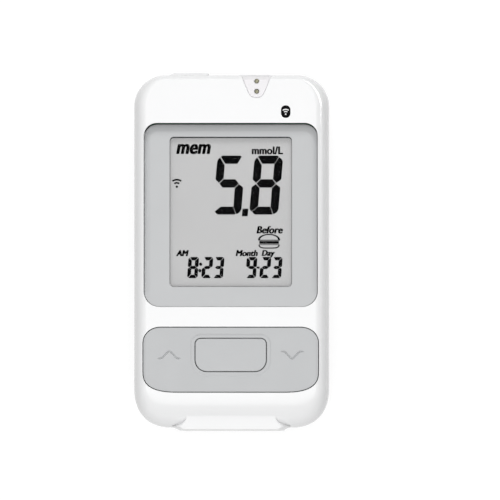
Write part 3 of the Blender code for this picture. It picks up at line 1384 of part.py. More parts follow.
def build_case(meter):
    shell = finish("white_shell", (0.93, 0.93, 0.93), 0.3)
    front_shell(shell, meter)
    rear_shell(shell, meter)
    strip_port_insert(finish("port_white", (0.94, 0.93, 0.94), 0.35), meter)
    pins = finish("pin_brass", (0.42, 0.41, 0.33), 0.4, 0.6)
    copies(["port_pin_top", "port_pin_low"], port_pin, pins, meter, port_pin_places())
    battery_door(shell, meter)
    port_cover(shell, meter)
    steel = finish("screw_steel", (0.55, 0.55, 0.56), 0.35, 1.0)
    ends, sides = ("top", "bottom"), ("left", "right")
    names = [f"case_screw_{end}_{side}" for end in ends for side in sides]
    places = [(x, y, SCREW_SEAT_DEPTH - SEAT_GAP) for x, y in screw_places()]
    copies(names, case_screw, steel, meter, places)
    places = [(x, y, BOARD_TOP + SEAT_GAP) for x, y in board_screw_places()]
    copies(["board_screw_left", "board_screw_right"], board_screw, steel, meter, places)


def build_display(meter):
    display_bezel(finish("bezel_grey", (0.58, 0.59, 0.60), 0.4), meter)
    display_lens(finish("lens_clear", (0.85, 0.87, 0.87), 0.05, alpha=0.3), meter)
    lcd_panel(finish("lcd_grey", (0.55, 0.56, 0.55), 0.25), meter)
    lcd_holder(finish("holder_grey", (0.35, 0.35, 0.36), 0.6), meter)
    zebra_strip(finish("rubber_pink", (0.72, 0.55, 0.55), 0.8), meter)


def build_keys(meter):
    key = finish("key_grey", (0.57, 0.58, 0.59), 0.45)
    rocker_key(key, meter)
    main_button(key, meter)


def build_electronics(meter):
    circuit_board(finish("board_green", (0.02, 0.20, 0.09), 0.5), meter)
    black = finish("chip_black", (0.02, 0.02, 0.02), 0.5)
    tin = finish("tin_plate", (0.68, 0.68, 0.67), 0.3, 1.0)
    gold = finish("gold_plate", (0.83, 0.62, 0.25), 0.3, 1.0)
    names = ["snap_dome_left", "snap_dome_main", "snap_dome_right"]
    across = (-ARROW_FROM_MIDDLE, 0.0, ARROW_FROM_MIDDLE)
    places = [(x, BUTTON_Y, BOARD_TOP + SEAT_GAP) for x in across]
    copies(names, snap_dome, tin, meter, places)
    processor_chip(black, meter)
    radio_module(tin, meter)
    buzzer(black, meter)
    strip_connector(black, meter)
    for index, x in enumerate(leaf_places()):
        strip_contact(x, f"strip_contact_{index + 1}", gold, meter)
    data_socket(tin, meter)
    batteries_and_contacts(finish("battery_sleeve", (0.10, 0.22, 0.40), 0.35, 0.3), tin, meter)


def build_meter():
    clear_scene()
    meter = bpy.data.objects.new("meter", None)
    bpy.context.scene.collection.objects.link(meter)
    build_case(meter)
    build_display(meter)
    build_keys(meter)
    build_electronics(meter)


build_meter()
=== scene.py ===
"""The looks of the blood glucose meter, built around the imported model. Metres; display up (+Z)."""

import math

import bmesh
import bpy
from mathutils import Matrix, Vector


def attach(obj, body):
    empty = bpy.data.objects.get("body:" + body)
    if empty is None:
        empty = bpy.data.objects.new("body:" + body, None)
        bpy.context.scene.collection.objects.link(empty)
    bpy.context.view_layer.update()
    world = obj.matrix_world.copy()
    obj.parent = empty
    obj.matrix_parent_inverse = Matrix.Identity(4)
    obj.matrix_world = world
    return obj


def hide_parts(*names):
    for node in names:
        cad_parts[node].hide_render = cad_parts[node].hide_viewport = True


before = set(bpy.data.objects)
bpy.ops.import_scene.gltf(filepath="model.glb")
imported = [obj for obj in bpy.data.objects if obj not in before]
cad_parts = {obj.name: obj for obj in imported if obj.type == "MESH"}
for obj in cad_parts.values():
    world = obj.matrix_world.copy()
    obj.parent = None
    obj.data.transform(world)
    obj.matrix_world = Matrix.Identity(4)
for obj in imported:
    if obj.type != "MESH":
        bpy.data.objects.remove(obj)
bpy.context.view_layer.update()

MM = 0.001


def mm(*values):
    """Lengths in millimetres as a tuple in metres."""
    return tuple(value * MM for value in values)


# Gaps between pieces, and how far a cutter runs past what it cuts
SEAT_GAP, FIT_GAP, LOOSE_GAP, SEAM_GAP = mm(0.1, 0.15, 0.3, 0.2)
PANEL_GAP, KEY_GAP, PORT_GAP, BEYOND = mm(0.2, 0.24, 0.05, 2.0)
# The least distance between faces that would lie on each other
HAIR = 0.01 * MM

# The case: outline, domed front above the seam, rounded back below it
SHELL_WIDTH, SHELL_LENGTH, SHELL_TOP = mm(53.3, 96.5, 48.4)
SHELL_BOTTOM = SHELL_TOP - SHELL_LENGTH
REAR_DEPTH, SHOULDER, FACE_Z, WALL = mm(10.5, 14.5, 21.6, 1.8)
FRONT_RIM, REAR_RIM = REAR_DEPTH + SEAM_GAP / 2, REAR_DEPTH - SEAM_GAP / 2
TOP_CORNER, SMALLEST_CORNER = mm(8.6, 0.3)
BOTTOM_CORNER = mm(10.7, 11.2)
BOTTOM_POWER, TOP_POWER = 2.4, 2.0
SIDE_ROUNDING, TOP_ROUNDING, BOTTOM_ROUNDING, REAR_ROUNDING = mm(3.6, 1.3, 9.0, 4.0)
RIM_TONGUE, RIM_TONGUE_HEIGHT, SEAM_EDGE = mm(0.8, 1.0, 0.12)
BOSS_RADIUS, BOSS_BELOW_FACE, COLUMN_RADIUS, BOARD_COLUMN_RADIUS = mm(2.5, 1.4, 2.7, 1.7)
SCREW_PLACES = (mm(20.2, 41.0), mm(18.5, -42.0))
BOARD_SCREW_PLACES = (mm(-5.1, 41.1), mm(13.7, 41.1))
# Holes in the back: radius of the mouth, radius, height of the bevel between them
SCREW_HOLE, SOUND_HOLE = mm(2.5, 2.2, 0.3), mm(1.15, 0.9, 0.25)
SCREW_HOLE_TOP, SCREW_BORE = mm(4.0, 1.25)

# The lip at the bottom end
LIP_PROUD, LIP_REACH, LIP_SIDE_DEPTH = mm(0.9, 4.2, 1.3)
LIP_TOP_WIDTH, LIP_RAMP_WIDTH, LIP_MOUTH_WIDTH, LIP_EDGE_WIDTH = mm(24.4, 27.6, 32.4, 25.0)
LIP_START_HEIGHT, LIP_END_HEIGHT, LIP_FLANK_DROP, LIP_EDGE_ROUNDING = mm(9.5, 8.8, 3.3, 0.55)
LIP_FLARE_POWER, LIP_FLANK_POWER = 2.2, 1.35
LIP_END = SHELL_BOTTOM - LIP_PROUD

# The display frame, its opening in the case, the window, and the lens and glass under it
BEZEL_HALF, BEZEL_LOW, BEZEL_HIGH, BEZEL_UNDER = mm(23.62, -14.92, 34.9, 18.8)
OPENING_HALF, OPENING_LOW, OPENING_HIGH = mm(23.8, -14.98, 35.27)
BEZEL_TOP_RECESS, BEZEL_BOTTOM_RECESS, BEZEL_BELOW_FACE = mm(1.5, 0.15, 0.12)
BEZEL_TOP_BEND, BEZEL_SIDE_DIP, BEZEL_TOP_DIP, BEZEL_DIP_START = mm(0.7, 0.8, 0.3, 7.0)
BEZEL_INSETS = mm(0.25, 0.4, 0.6, 0.8, 1.0, 1.25, 1.5, 1.75, 2.0)
WINDOW_HALF, WINDOW_LOW, WINDOW_HIGH, WINDOW_CORNER = mm(16.7, -9.5, 31.5, 1.1)
LENS_LOW, LENS_HIGH, LENS_MARGIN = mm(19.25, 19.6, 1.6)
LCD_TOP, GLASS_MARGIN, GLASS_SINK, INK_THICKNESS = mm(19.1, 1.3, 0.9, 0.03)
DISPLAY_LIFT, DISPLAY_TILT = 0.945 * MM, -0.02683

# The rocking key, and the button in its hole
KEYPAD_HALF, KEYPAD_LOW, KEYPAD_HIGH = mm(23.93, -38.22, -20.62)
KEYPAD_DEPTH, KEYPAD_SKIN, KEYPAD_WALL, KEYPAD_DIP, KEYPAD_BELOW = mm(4.2, 1.9, 1.2, 0.16, 0.9)
KEYPAD_INSETS = mm(0.35, 0.5, 0.65, 0.8, 0.95, 1.1, 1.4, 1.7, 2.0, 2.4, 2.8)
BUTTON_HALF, BUTTON_LOW, BUTTON_HIGH = mm(9.65, -32.58, -23.68)
BUTTON_WALL, BUTTON_SKIN, BUTTON_SINK = mm(1.0, 1.5, 0.02)
BUTTON_Y = (BUTTON_LOW + BUTTON_HIGH) / 2
ARROW_X, ARROW_WIDTH, ARROW_DEPTH, DISH_DEPTH = mm(16.8, 0.54, 0.3, 0.22)
RIB_HALF, RIB_LOW, RIB_OUTSIDE_GAP, RIB_INSIDE_GAP = mm(0.6, 14.8, 0.6, 1.48)
FOOT_RADIUS, FOOT_LOW, POST_LOW = mm(1.5, 15.5, 15.55)
FLANGE_BELOW_SKIN, FLANGE_THICKNESS, FLANGE_REACH = mm(0.5, 0.7, 0.9)
DISH_REACHES, CAP_INSETS = mm(0.75, 0.85, 1.1, 1.25, 1.25), mm(0.4)

# Radii of edges: at an opening in the face, at the V, of the frame, at the window, of the keys
OPENING_EDGE, PORT_EDGE, BEZEL_EDGE, WINDOW_EDGE, KEY_EDGE = mm(0.12, 0.07, 0.1, 0.2, 0.15)
# How far cutters end past the face: flared ones as a share of the edge's radius, and grooves
FLARE_OVER, GROOVE_OVER = 0.16, 0.2 * MM
# Corners closer than this become one
WELD, WIDE_WELD = mm(0.0005, 0.001)

# The strip port: its V on the face, the block round its slot, and its pins
PORT_X, PORT_MOUTH, PORT_LENGTH, PORT_RECESS = mm(7.0, 8.2, 6.25, 0.25)
PORT_NARROWING, PORT_TIP_POWER, PORT_STEPS = 0.59, 12, 28
PORT_PLATE, PORT_CHAMFER, PORT_NECK_HALF = mm(3.4, 0.11, 2.7)
PORT_BLOCK_HALF, PORT_BLOCK_DEPTH, SLOT_WALL = mm(4.5, 2.3, 0.6)
SLOT_HALF, SLOT_LOW, SLOT_HIGH = mm(3.3, 15.55, 16.45)
SLOT_FLARE, SLOT_FLARE_IN, SLOT_FLARE_OUT = mm(0.55, 1.0, 0.1)
PIN_RADIUS, PIN_LENGTH, PIN_PROUD, PIN_DOME = mm(0.55, 1.2, 0.05, 0.25)
PIN_BEVEL_LOW, PIN_BEVEL_HIGH = mm(0.15, 0.02)
PIN_PLACES = (mm(7.1, 46.7), mm(7.1, 43.9))

# The data port's cover, its hinge and the frame behind it
COVER_PIVOT = mm(-17.4, 47.4)
COVER_OUTSIDE, COVER_INSIDE, COVER_FREE_END, COVER_END_GAP = mm(49.0, 47.0, -6.3, 0.5)
COVER_LOW, COVER_HIGH, COVER_RISE, COVER_EDGE, COVER_STEP = mm(8.45, 16.25, 1.2, 0.3, 1.8)
COVER_DRAW = 0.45
KNUCKLE, TRUNNION, TRUNNION_LENGTH = mm(0.8, 0.4, 0.6)
DATA_X, DATA_Z, DATA_HALF, DATA_TALL = mm(-12.4, 12.35, 3.75, 1.25)
PLUG_HALF, PLUG_TALL, PLUG_REACH = mm(2.6, 0.7, 1.0)
PORT_INSIDE = SHELL_TOP - WALL - 1.2 * MM
PORT_FRAME_WALL = 1.4 * MM

# The battery bay, its door and the door's finger grip
BAY_HALF, BAY_LOW, BAY_HIGH, BAY_WALL = mm(11.2, -44.3, 5.55, 1.2)
BAY_ROOF_LOW, BAY_TOP = mm(12.6, 13.6)
DOOR_THICKNESS, DOOR_HALF, DOOR_HIGH, DOOR_BEVEL = mm(1.5, 13.2, 7.85, 0.2)
DOOR_TONGUE, DOOR_TONGUE_LOW, DOOR_END_HALF, DOOR_END_RISE = mm(0.9, 0.75, 14.4, 3.0)
RAIL_WALL, RAIL_HEIGHT, REAR_LIMIT = mm(2.0, 1.6, 4.0)
GRIP_COUNT, GRIP_START, GRIP_STEP = 5, 9.0 * MM, 1.8 * MM
GRIP_HALF, GRIP_WIDTH, GRIP_DEPTH, GRIP_EDGE = mm(6.5, 0.8, 0.4, 0.15)
SOUND_PLACE = (0.0, BAY_HIGH + BAY_WALL + 11.6 * MM)

# Print and painted shadow: the dark line under the lens, partly a printed border and partly painted
# shadow, widest at the top where the bezel's wall shades the window, with its widths at left, right,
# bottom and top; and the badge, which is print
PRINT_AND_SHADOW_EDGES = mm(0.08, 0.1, 0.06, 0.36)
PRINT_AND_SHADOW_MARGIN, PRINT_AND_SHADOW_CORNER, PRINT_AND_SHADOW_LOW, PRINT_AND_SHADOW_HIGH = mm(1.0, 0.9, 0.06, 0.02)
BADGE_PLACE = mm(15.05, 38.35)
BADGE_HALF, BADGE_TALL, BADGE_DEPTH, BADGE_SINK, BADGE_SIGN_SINK = mm(1.28, 1.7, 0.08, 0.02, 0.005)
BADGE_SIGN_SIZE, BADGE_SIGN_LOWER = mm(1.45, 0.08)

# Steps of corners and roundings, and sides of round pieces
CORNER_STEPS, SMALL_STEPS, LENS_POCKET_STEPS, LIP_STEPS, HINGE_STEPS = 14, 8, 5, 12, 12
ROUNDING_STEPS, ROUND_SIDES, FINE_SIDES, HINGE_SIDES = 20, 32, 36, 24


# Node materials

PLASTIC_EDGE, METAL_EDGE, SCRATCH_DEPTH = mm(0.12, 0.08, 0.01)
EDGE_WEAR = 0.03


def new_material(name):
    made = bpy.data.materials.new(name)
    made.use_nodes = True
    tree = made.node_tree
    return made, tree, tree.nodes["Principled BSDF"]


def fill(made, inputs):
    """Sets a node's inputs, by name or place, each to a socket, a colour or a number."""
    for place, value in inputs.items():
        if isinstance(value, bpy.types.NodeSocket):
            made.id_data.links.new(value, made.inputs[place])
        elif isinstance(value, tuple):
            made.inputs[place].default_value = (*value, 1.0)
        else:
            made.inputs[place].default_value = value


def node(tree, kind, inputs=None, **settings):
    """A new node with these inputs and settings."""
    made = tree.nodes.new(kind)
    for key, value in settings.items():
        setattr(made, key, value)
    fill(made, inputs or {})
    return made


def noise(tree, scale, detail=3.0, roughness=0.5):
    """Noise in the object's own coordinates; scale is in features a metre."""
    place = node(tree, "ShaderNodeTexCoord").outputs["Object"]
    return node(tree, "ShaderNodeTexNoise", {
        "Vector": place, "Scale": scale, "Detail": detail, "Roughness": roughness,
    }).outputs["Fac"]


def ranged(tree, value, low, high, start=0.0, end=1.0):
    """A value that goes from low to high where the first goes from start to end."""
    return node(tree, "ShaderNodeMapRange", {
        "Value": value, "From Min": start, "From Max": end, "To Min": low, "To Max": high,
    }).outputs["Result"]


def maths(tree, operation, first, second):
    return node(tree, "ShaderNodeMath", {0: first, 1: second}, operation=operation).outputs["Value"]


def mixed(tree, share, first, second):
    """A colour between two, by a share that is a socket."""
    return node(tree, "ShaderNodeMix", {0: share, 6: first, 7: second}, data_type="RGBA").outputs[2]


def bumped(tree, heights, normal):
    """A normal from pairs of a height socket and its depth in metres, over a first normal."""
    for height, depth in heights:
        inputs = {"Strength": 1.0, "Distance": depth, "Height": height, "Normal": normal}
        normal = node(tree, "ShaderNodeBump", inputs).outputs["Normal"]
    return normal


def soft_edges(tree, radius):
    """A normal that rounds the edges by this radius, and a value near 1 along them."""
    soft = node(tree, "ShaderNodeBevel", {"Radius": radius}, samples=6).outputs["Normal"]
    own = node(tree, "ShaderNodeNewGeometry").outputs["Normal"]
    dot = node(tree, "ShaderNodeVectorMath", {0: soft, 1: own}, operation="DOT_PRODUCT")
    return soft, ranged(tree, dot.outputs["Value"], 1.0, 0.0, 0.75, 0.98)


def shaded(color, share):
    """A colour times a share, no lighter than white."""
    return tuple(min(1.0, channel * share) for channel in color)


def plastic(name, color, roughness, grain=0.0, peel=0.0, spread=0.015):
    """Moulded plastic: faint colour drift, smudged gloss, orange peel, grain and rubbed edges."""
    made, tree, shader = new_material(name)
    drift = noise(tree, 60.0, 4.0)
    body = mixed(tree, drift, shaded(color, 1 - spread), shaded(color, 1 + spread))
    normal, along_edges = soft_edges(tree, PLASTIC_EDGE)
    rubbed = maths(tree, "MULTIPLY", along_edges, noise(tree, 700.0, 5.0, 0.7))
    smudges = noise(tree, 140.0, 6.0, 0.65)
    gloss = ranged(tree, smudges, roughness * 0.85, roughness * 1.2, 0.3, 0.7)
    heights = []
    if peel:
        heights.append((noise(tree, 650.0, 2.0), peel))
    if grain:
        heights.append((noise(tree, 5200.0, 3.0, 0.6), grain))
    fill(shader, {
        "Base Color": mixed(tree, rubbed, body, shaded(color, 1 + EDGE_WEAR)),
        "Roughness": maths(tree, "SUBTRACT", gloss, maths(tree, "MULTIPLY", rubbed, roughness * 0.3)),
        "Normal": bumped(tree, heights, normal), "IOR": 1.5,
    })
    return made


def metal(name, color, roughness):
    """Plated or turned metal with fine scratches and dull patches."""
    made, tree, shader = new_material(name)
    gloss = ranged(tree, noise(tree, 1500.0, 4.0), roughness * 0.7, roughness * 1.4, 0.3, 0.7)
    normal, _ = soft_edges(tree, METAL_EDGE)
    fill(shader, {
        "Metallic": 1.0, "Roughness": gloss,
        "Base Color": mixed(tree, noise(tree, 500.0, 5.0, 0.6), shaded(color, 0.78), color),
        "Normal": bumped(tree, [(noise(tree, 4000.0, 4.0), SCRATCH_DEPTH)], normal),
    })
    return made


def see_through(name, color, roughness, alpha):
    """Clear plastic with faint smears."""
    made, tree, shader = new_material(name)
    gloss = ranged(tree, noise(tree, 200.0, 5.0), roughness * 0.6, roughness * 1.6, 0.3, 0.7)
    fill(shader, {
        "Base Color": color, "Alpha": alpha, "Specular IOR Level": 0.3, "Roughness": gloss,
    })
    made.surface_render_method = "BLENDED"
    return made


def ink(name, color):
    """Flat black of a display segment or of print, a little uneven."""
    made, tree, shader = new_material(name)
    fill(shader, {
        "Base Color": mixed(tree, noise(tree, 900.0), shaded(color, 0.6), color),
        "Roughness": ranged(tree, noise(tree, 2000.0), 0.6, 0.85), "Specular IOR Level": 0.0,
    })
    return made


# Depths of orange peel and of grain
PEEL, GRAIN, KEY_GRAIN, BEZEL_GRAIN, LCD_GRAIN = mm(0.004, 0.01, 0.006, 0.004, 0.003)
BY_SLOT = {
    "white_shell": plastic("white_gloss", (0.84, 0.842, 0.846), 0.2, peel=PEEL),
    "port_white": plastic("port_white", (0.80, 0.785, 0.80), 0.3, peel=PEEL),
    "bezel_grey": plastic("bezel_satin", (0.505, 0.513, 0.52), 0.42, BEZEL_GRAIN),
    "key_grey": plastic("key_satin", (0.495, 0.503, 0.51), 0.45, KEY_GRAIN),
    "lens_clear": see_through("lens_clear", (0.02, 0.021, 0.021), 0.06, 0.035),
    "lcd_grey": plastic("lcd_back", (0.575, 0.575, 0.577), 0.55, LCD_GRAIN),
    "holder_grey": plastic("holder_grey", (0.30, 0.30, 0.31), 0.6, GRAIN),
    "contact_rubber": plastic("contact_rubber", (0.55, 0.36, 0.36), 0.8, GRAIN),
    "board_green": plastic("board_green", (0.02, 0.16, 0.07), 0.45, GRAIN, spread=0.12),
    "chip_black": plastic("chip_black", (0.02, 0.02, 0.022), 0.5, GRAIN, spread=0.1),
    "battery_sleeve": plastic("battery_sleeve", (0.05, 0.13, 0.30), 0.3, peel=PEEL),
    "pin_brass": metal("pin_brass", (0.30, 0.29, 0.21), 0.5),
    "tin_plate": metal("tin_plate", (0.62, 0.62, 0.61), 0.3),
    "gold_plate": metal("gold_plate", (0.83, 0.62, 0.25), 0.28),
    "screw_steel": metal("screw_steel", (0.50, 0.50, 0.51), 0.32),
}
INK = ink("display_ink", (0.0015, 0.0015, 0.002))
# Dark grey of the line under the lens: a printed border, and painted shadow where the bezel's wall
# shades the window's edge
PRINT_AND_SHADOW_GREY = plastic("print_and_painted_shadow_grey", (0.05, 0.052, 0.055), 0.5)
PRINT_BLACK = ink("print_black", (0.008, 0.008, 0.009))
PRINT_WHITE = plastic("print_white", (0.8, 0.8, 0.8), 0.4)

SLOT_OF = {}
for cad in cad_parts.values():
    for slot in cad.material_slots:
        SLOT_OF[cad.name] = slot.material.name
        slot.material = BY_SLOT[slot.material.name]


# Outlines


def around(centre, radius, angle):
    """The point at this distance and angle from a centre."""
    return centre[0] + radius * math.cos(angle), centre[1] + radius * math.sin(angle)


def quarter(steps):
    """The sine and the cosine at each step of a quarter turn."""
    turns = [math.pi / 2 * step / steps for step in range(steps + 1)]
    return [(math.sin(turn), math.cos(turn)) for turn in turns]


def corner(centre, size, start, power, steps):
    """A quarter of a superellipse, anticlockwise from the angle start."""
    points = []
    for step in range(steps + 1):
        angle = start + math.pi / 2 * step / steps
        across, along = math.cos(angle), math.sin(angle)
        x = centre[0] + size[0] * math.copysign(abs(across) ** (2 / power), across)
        y = centre[1] + size[1] * math.copysign(abs(along) ** (2 / power), along)
        points.append((x, y))
    return points


def rounded_outline(left, right, bottom, top, low, high, steps, powers=(2.0, 2.0)):
    """An anticlockwise outline whose lower and upper corners have the sizes low and high."""
    low_power, high_power = powers
    turn = math.pi / 2
    points = corner((right - low[0], bottom + low[1]), low, -turn, low_power, steps)
    points += corner((right - high[0], top - high[1]), high, 0.0, high_power, steps)
    points += corner((left + high[0], top - high[1]), high, turn, high_power, steps)
    points += corner((left + low[0], bottom + low[1]), low, 2 * turn, low_power, steps)
    return points


def case_sizes(side, top, bottom):
    """Half the width, the two ends, and the upper and lower corners of the drawn-in case."""
    high = (max(TOP_CORNER - side, SMALLEST_CORNER), max(TOP_CORNER - top, SMALLEST_CORNER))
    sizes = zip(BOTTOM_CORNER, (side, bottom))
    low = tuple(max(size - inset, SMALLEST_CORNER) for size, inset in sizes)
    return SHELL_WIDTH / 2 - side, (SHELL_BOTTOM + bottom, SHELL_TOP - top), high, low


def case_outline(side, top, bottom):
    half, ends, high, low = case_sizes(side, top, bottom)
    return rounded_outline(-half, half, *ends, low, high, CORNER_STEPS, (BOTTOM_POWER, TOP_POWER))


def in_case(x, y, draw):
    """Whether a point lies in the case's outline, drawn in as far as this share of its rounding."""
    insets = (SIDE_ROUNDING * draw, TOP_ROUNDING * draw, BOTTOM_ROUNDING * draw)
    half, (bottom, top), high, low = case_sizes(*insets)
    if abs(x) > half or y < bottom or y > top:
        return False
    corners = ((high, TOP_POWER, y - top + high[1]), (low, BOTTOM_POWER, bottom + low[1] - y))
    for size, power, along in corners:
        across = abs(x) - half + size[0]
        if across > 0 and along > 0:
            return (across / size[0]) ** power + (along / size[1]) ** power <= 1
    return True


def face_height(x, y):
    """The height of the front's domed face over a point, found by halving."""
    near, far = 0.0, 1.0
    for _ in range(22):
        middle = (near + far) / 2
        if in_case(x, y, middle):
            near = middle
        else:
            far = middle
    return SHOULDER + (FACE_Z - SHOULDER) * math.sqrt(1 - (1 - near) ** 2)


def bezel_height(x, y):
    """The height of the bezel's face, which sinks towards the strip port end."""
    share = (y - BEZEL_LOW) / (BEZEL_HIGH - BEZEL_LOW)
    plane = FACE_Z - BEZEL_BOTTOM_RECESS - (BEZEL_TOP_RECESS - BEZEL_BOTTOM_RECESS) * share
    plane -= BEZEL_TOP_BEND * max(0.0, (y - WINDOW_HIGH) / (BEZEL_HIGH - WINDOW_HIGH)) ** 2
    return min(plane, face_height(x, y) - BEZEL_BELOW_FACE)


def bezel_dip(x, y):
    """How far the bezel's face falls towards its edge, which is nothing at the end by the keys."""
    share = min(1.0, max(0.0, (y - BEZEL_LOW) / BEZEL_DIP_START))
    end = max(0.0, (y - WINDOW_HIGH) / (BEZEL_HIGH - WINDOW_HIGH))
    return BEZEL_SIDE_DIP * share**2 * (3 - 2 * share) - (BEZEL_SIDE_DIP - BEZEL_TOP_DIP) * end


def outline_drawer(half, bottom, top, low, high, steps, powers=(2.0, 2.0), stretch=1.0):
    """A function that draws a rounded outline about x = 0, larger all round by its argument.

    The lower corners have the sizes low, the upper ones high, which stretch makes wider.
    """
    def drawn(gap):
        return rounded_outline(
            -half - gap, half + gap, bottom - gap, top + gap,
            (low[0] + gap, low[1] + gap), ((high + gap) * stretch, high + gap), steps, powers,
        )

    return drawn


bezel_outline = outline_drawer(
    BEZEL_HALF, BEZEL_LOW, BEZEL_HIGH, mm(4.2, 4.2), 3.5 * MM, CORNER_STEPS
)
opening_outline = outline_drawer(
    OPENING_HALF, OPENING_LOW, OPENING_HIGH, mm(4.3, 4.3), 3.6 * MM, CORNER_STEPS
)
window_outline = outline_drawer(
    WINDOW_HALF, WINDOW_LOW, WINDOW_HIGH, (WINDOW_CORNER, WINDOW_CORNER), WINDOW_CORNER, SMALL_STEPS
)
keypad_outline = outline_drawer(
    KEYPAD_HALF, KEYPAD_LOW, KEYPAD_HIGH, mm(9.6, 5.6), 4.4 * MM, CORNER_STEPS, (2.65, 2.1), 1.1
)
button_outline = outline_drawer(
    BUTTON_HALF, BUTTON_LOW, BUTTON_HIGH, mm(3.1, 3.1), 1.5 * MM, SMALL_STEPS
)


def port_outline(gap):
    """The V of the strip port, running past the case's top edge."""
    side = [(PORT_MOUTH / 2 + gap, SHELL_TOP + BEYOND)]
    for share, _ in quarter(PORT_STEPS)[:-1]:
        width = (1 - PORT_NARROWING * share) * math.sqrt(max(0.0, 1 - share**PORT_TIP_POWER))
        half = PORT_MOUTH / 2 * width + gap * (1 - share)
        side.append((half, SHELL_TOP - (PORT_LENGTH + gap) * share))
    tip = [(0.0, SHELL_TOP - PORT_LENGTH - gap)]
    points = [(-x, y) for x, y in side] + tip + side[::-1]
    return [(PORT_X + x, y) for x, y in points]


def badge_outline(gap):
    """A tall oval on the face at the right of the bare name place."""
    half, tall = BADGE_HALF + gap, BADGE_TALL + gap
    x, y = BADGE_PLACE
    size = (half * 0.9, tall * 0.72)
    return rounded_outline(x - half, x + half, y - tall, y + tall, size, size, SMALL_STEPS)


def box_outline(left, right, bottom, top):
    return [(left, bottom), (right, bottom), (right, top), (left, top)]


# Solids


def loft(rings):
    """A closed solid through rings of equal counts, anticlockwise from above, lowest first."""
    made = bmesh.new()
    loops = [[made.verts.new(point) for point in ring] for ring in rings]
    count = len(loops[0])
    for lower, upper in zip(loops, loops[1:]):
        for i in range(count):
            j = (i + 1) % count
            made.faces.new((lower[i], lower[j], upper[j], upper[i]))
    made.faces.new(loops[0][::-1])
    made.faces.new(loops[-1])
    return made


def ring_at(outline, z):
    return [(x, y, z) for x, y in outline]


def ring_on(outline, height_of, depth=0.0):
    return [(x, y, height_of(x, y) - depth) for x, y in outline]


def prism(outline, low, high):
    return loft([ring_at(outline, low), ring_at(outline, high)])


def box(left, right, bottom, top, low, high):
    return prism(box_outline(left, right, bottom, top), low, high)


def stacked(outline_of, levels):
    """A solid through level rings: pairs of the outline's gap and the height, lowest first."""
    return loft([ring_at(outline_of(gap), z) for gap, z in levels])


def slab(half, bottom, top, low, high, middle=0.0):
    """A box that reaches half to both sides of x = middle."""
    return box(middle - half, middle + half, bottom, top, low, high)


def turned(profile, sides, centre):
    """A solid turned about Z: the profile is a list of radius and height, lowest first."""
    angles = [2 * math.pi * side / sides for side in range(sides)]
    return loft([[(*around(centre, radius, angle), z) for angle in angles] for radius, z in profile])


def cylinder(radius, low, high, centre, sides=FINE_SIDES):
    return turned([(radius, low), (radius, high)], sides, centre)


def lifted(made):
    """The same mesh raised and tilted, so that the display lies parallel to the bezel's face."""
    for vertex in made.verts:
        vertex.co.z += DISPLAY_LIFT + DISPLAY_TILT * vertex.co.y
    return made


def placed(name, data):
    """A new object in the scene."""
    thing = bpy.data.objects.new(name, data)
    bpy.context.scene.collection.objects.link(thing)
    return thing


def object_from(name, made, material=None):
    mesh = bpy.data.meshes.new(name)
    made.to_mesh(mesh)
    made.free()
    if material:
        mesh.materials.append(material)
    return placed(name, mesh)


def carved(base, steps, own_crossings=False):
    """The base solid after each step, a pair of a Boolean operation and the solid it takes."""
    target = object_from("target", base)
    tools = []
    for operation, made in steps:
        tool = object_from("tool", made)
        modifier = target.modifiers.new(operation, "BOOLEAN")
        modifier.operation = operation
        modifier.solver = "EXACT"
        modifier.use_self = own_crossings
        modifier.object = tool
        tools.append(tool)
    bpy.context.view_layer.update()
    result = bmesh.new()
    result.from_object(target, bpy.context.evaluated_depsgraph_get())
    for thing in tools + [target]:
        mesh = thing.data
        bpy.data.objects.remove(thing)
        bpy.data.meshes.remove(mesh)
    return result


def added(made, *others):
    """The same mesh with these closed solids put into it as they are."""
    for other in others:
        mesh = bpy.data.meshes.new("part")
        other.to_mesh(mesh)
        other.free()
        made.from_mesh(mesh)
        bpy.data.meshes.remove(mesh)
    return made


def finished(made, cad_name, body, angle=32.0, name=None):
    """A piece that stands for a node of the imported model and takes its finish."""
    bmesh.ops.remove_doubles(made, verts=made.verts, dist=WELD)
    slot_name = SLOT_OF[cad_name]
    thing = object_from(name or cad_name + "_fine", made, BY_SLOT[slot_name])
    thing.data.shade_smooth()
    thing.data.set_sharp_from_angle(angle=math.radians(angle))
    weighted = thing.modifiers.new("weighted", "WEIGHTED_NORMAL")
    weighted.mode = "FACE_AREA_WITH_ANGLE"
    weighted.keep_sharp = True
    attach(thing, body)
    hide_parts(cad_name)


def cuts(*solids):
    return [("DIFFERENCE", solid) for solid in solids]


def joins(*solids):
    return [("UNION", solid) for solid in solids]


def flared(outline_of, gap, floor, radius, height_of):
    """A cutter that goes straight up from floor and widens at the face, so that the edge is round."""
    rings = [ring_at(outline_of(gap), floor)]
    for rise, level in quarter(6)[:-2]:
        outline = outline_of(gap + radius * (1 - level))
        rings.append(ring_on(outline, height_of, radius * (1 - rise)))
    # The last step goes on past the face, so that cutter and face cross at a clear angle
    rings.append(ring_on(outline_of(gap + radius), height_of, -FLARE_OVER * radius))
    rings.append(ring_at(outline_of(gap + radius), FACE_Z + BEYOND))
    return loft(rings)


def round_topped(outline_of, low, radius, height_of, insets, dip_of=lambda x, y: 0.0):
    """A solid with a rounded top edge, whose face follows height_of through rings at these insets.

    The face falls by dip_of at its edge and is level with height_of from the last inset inwards.
    """
    def ring(inset, depth):
        share = (1 - inset / insets[-1]) ** 2
        return ring_on(outline_of(-inset), lambda x, y: height_of(x, y) - share * dip_of(x, y), depth)

    rings = [ring_at(outline_of(0.0), low)]
    rings += [ring(radius * (1 - level), radius * (1 - rise)) for rise, level in quarter(6)]
    rings += [ring(inset, 0.0) for inset in insets]
    return loft(rings)


# Case


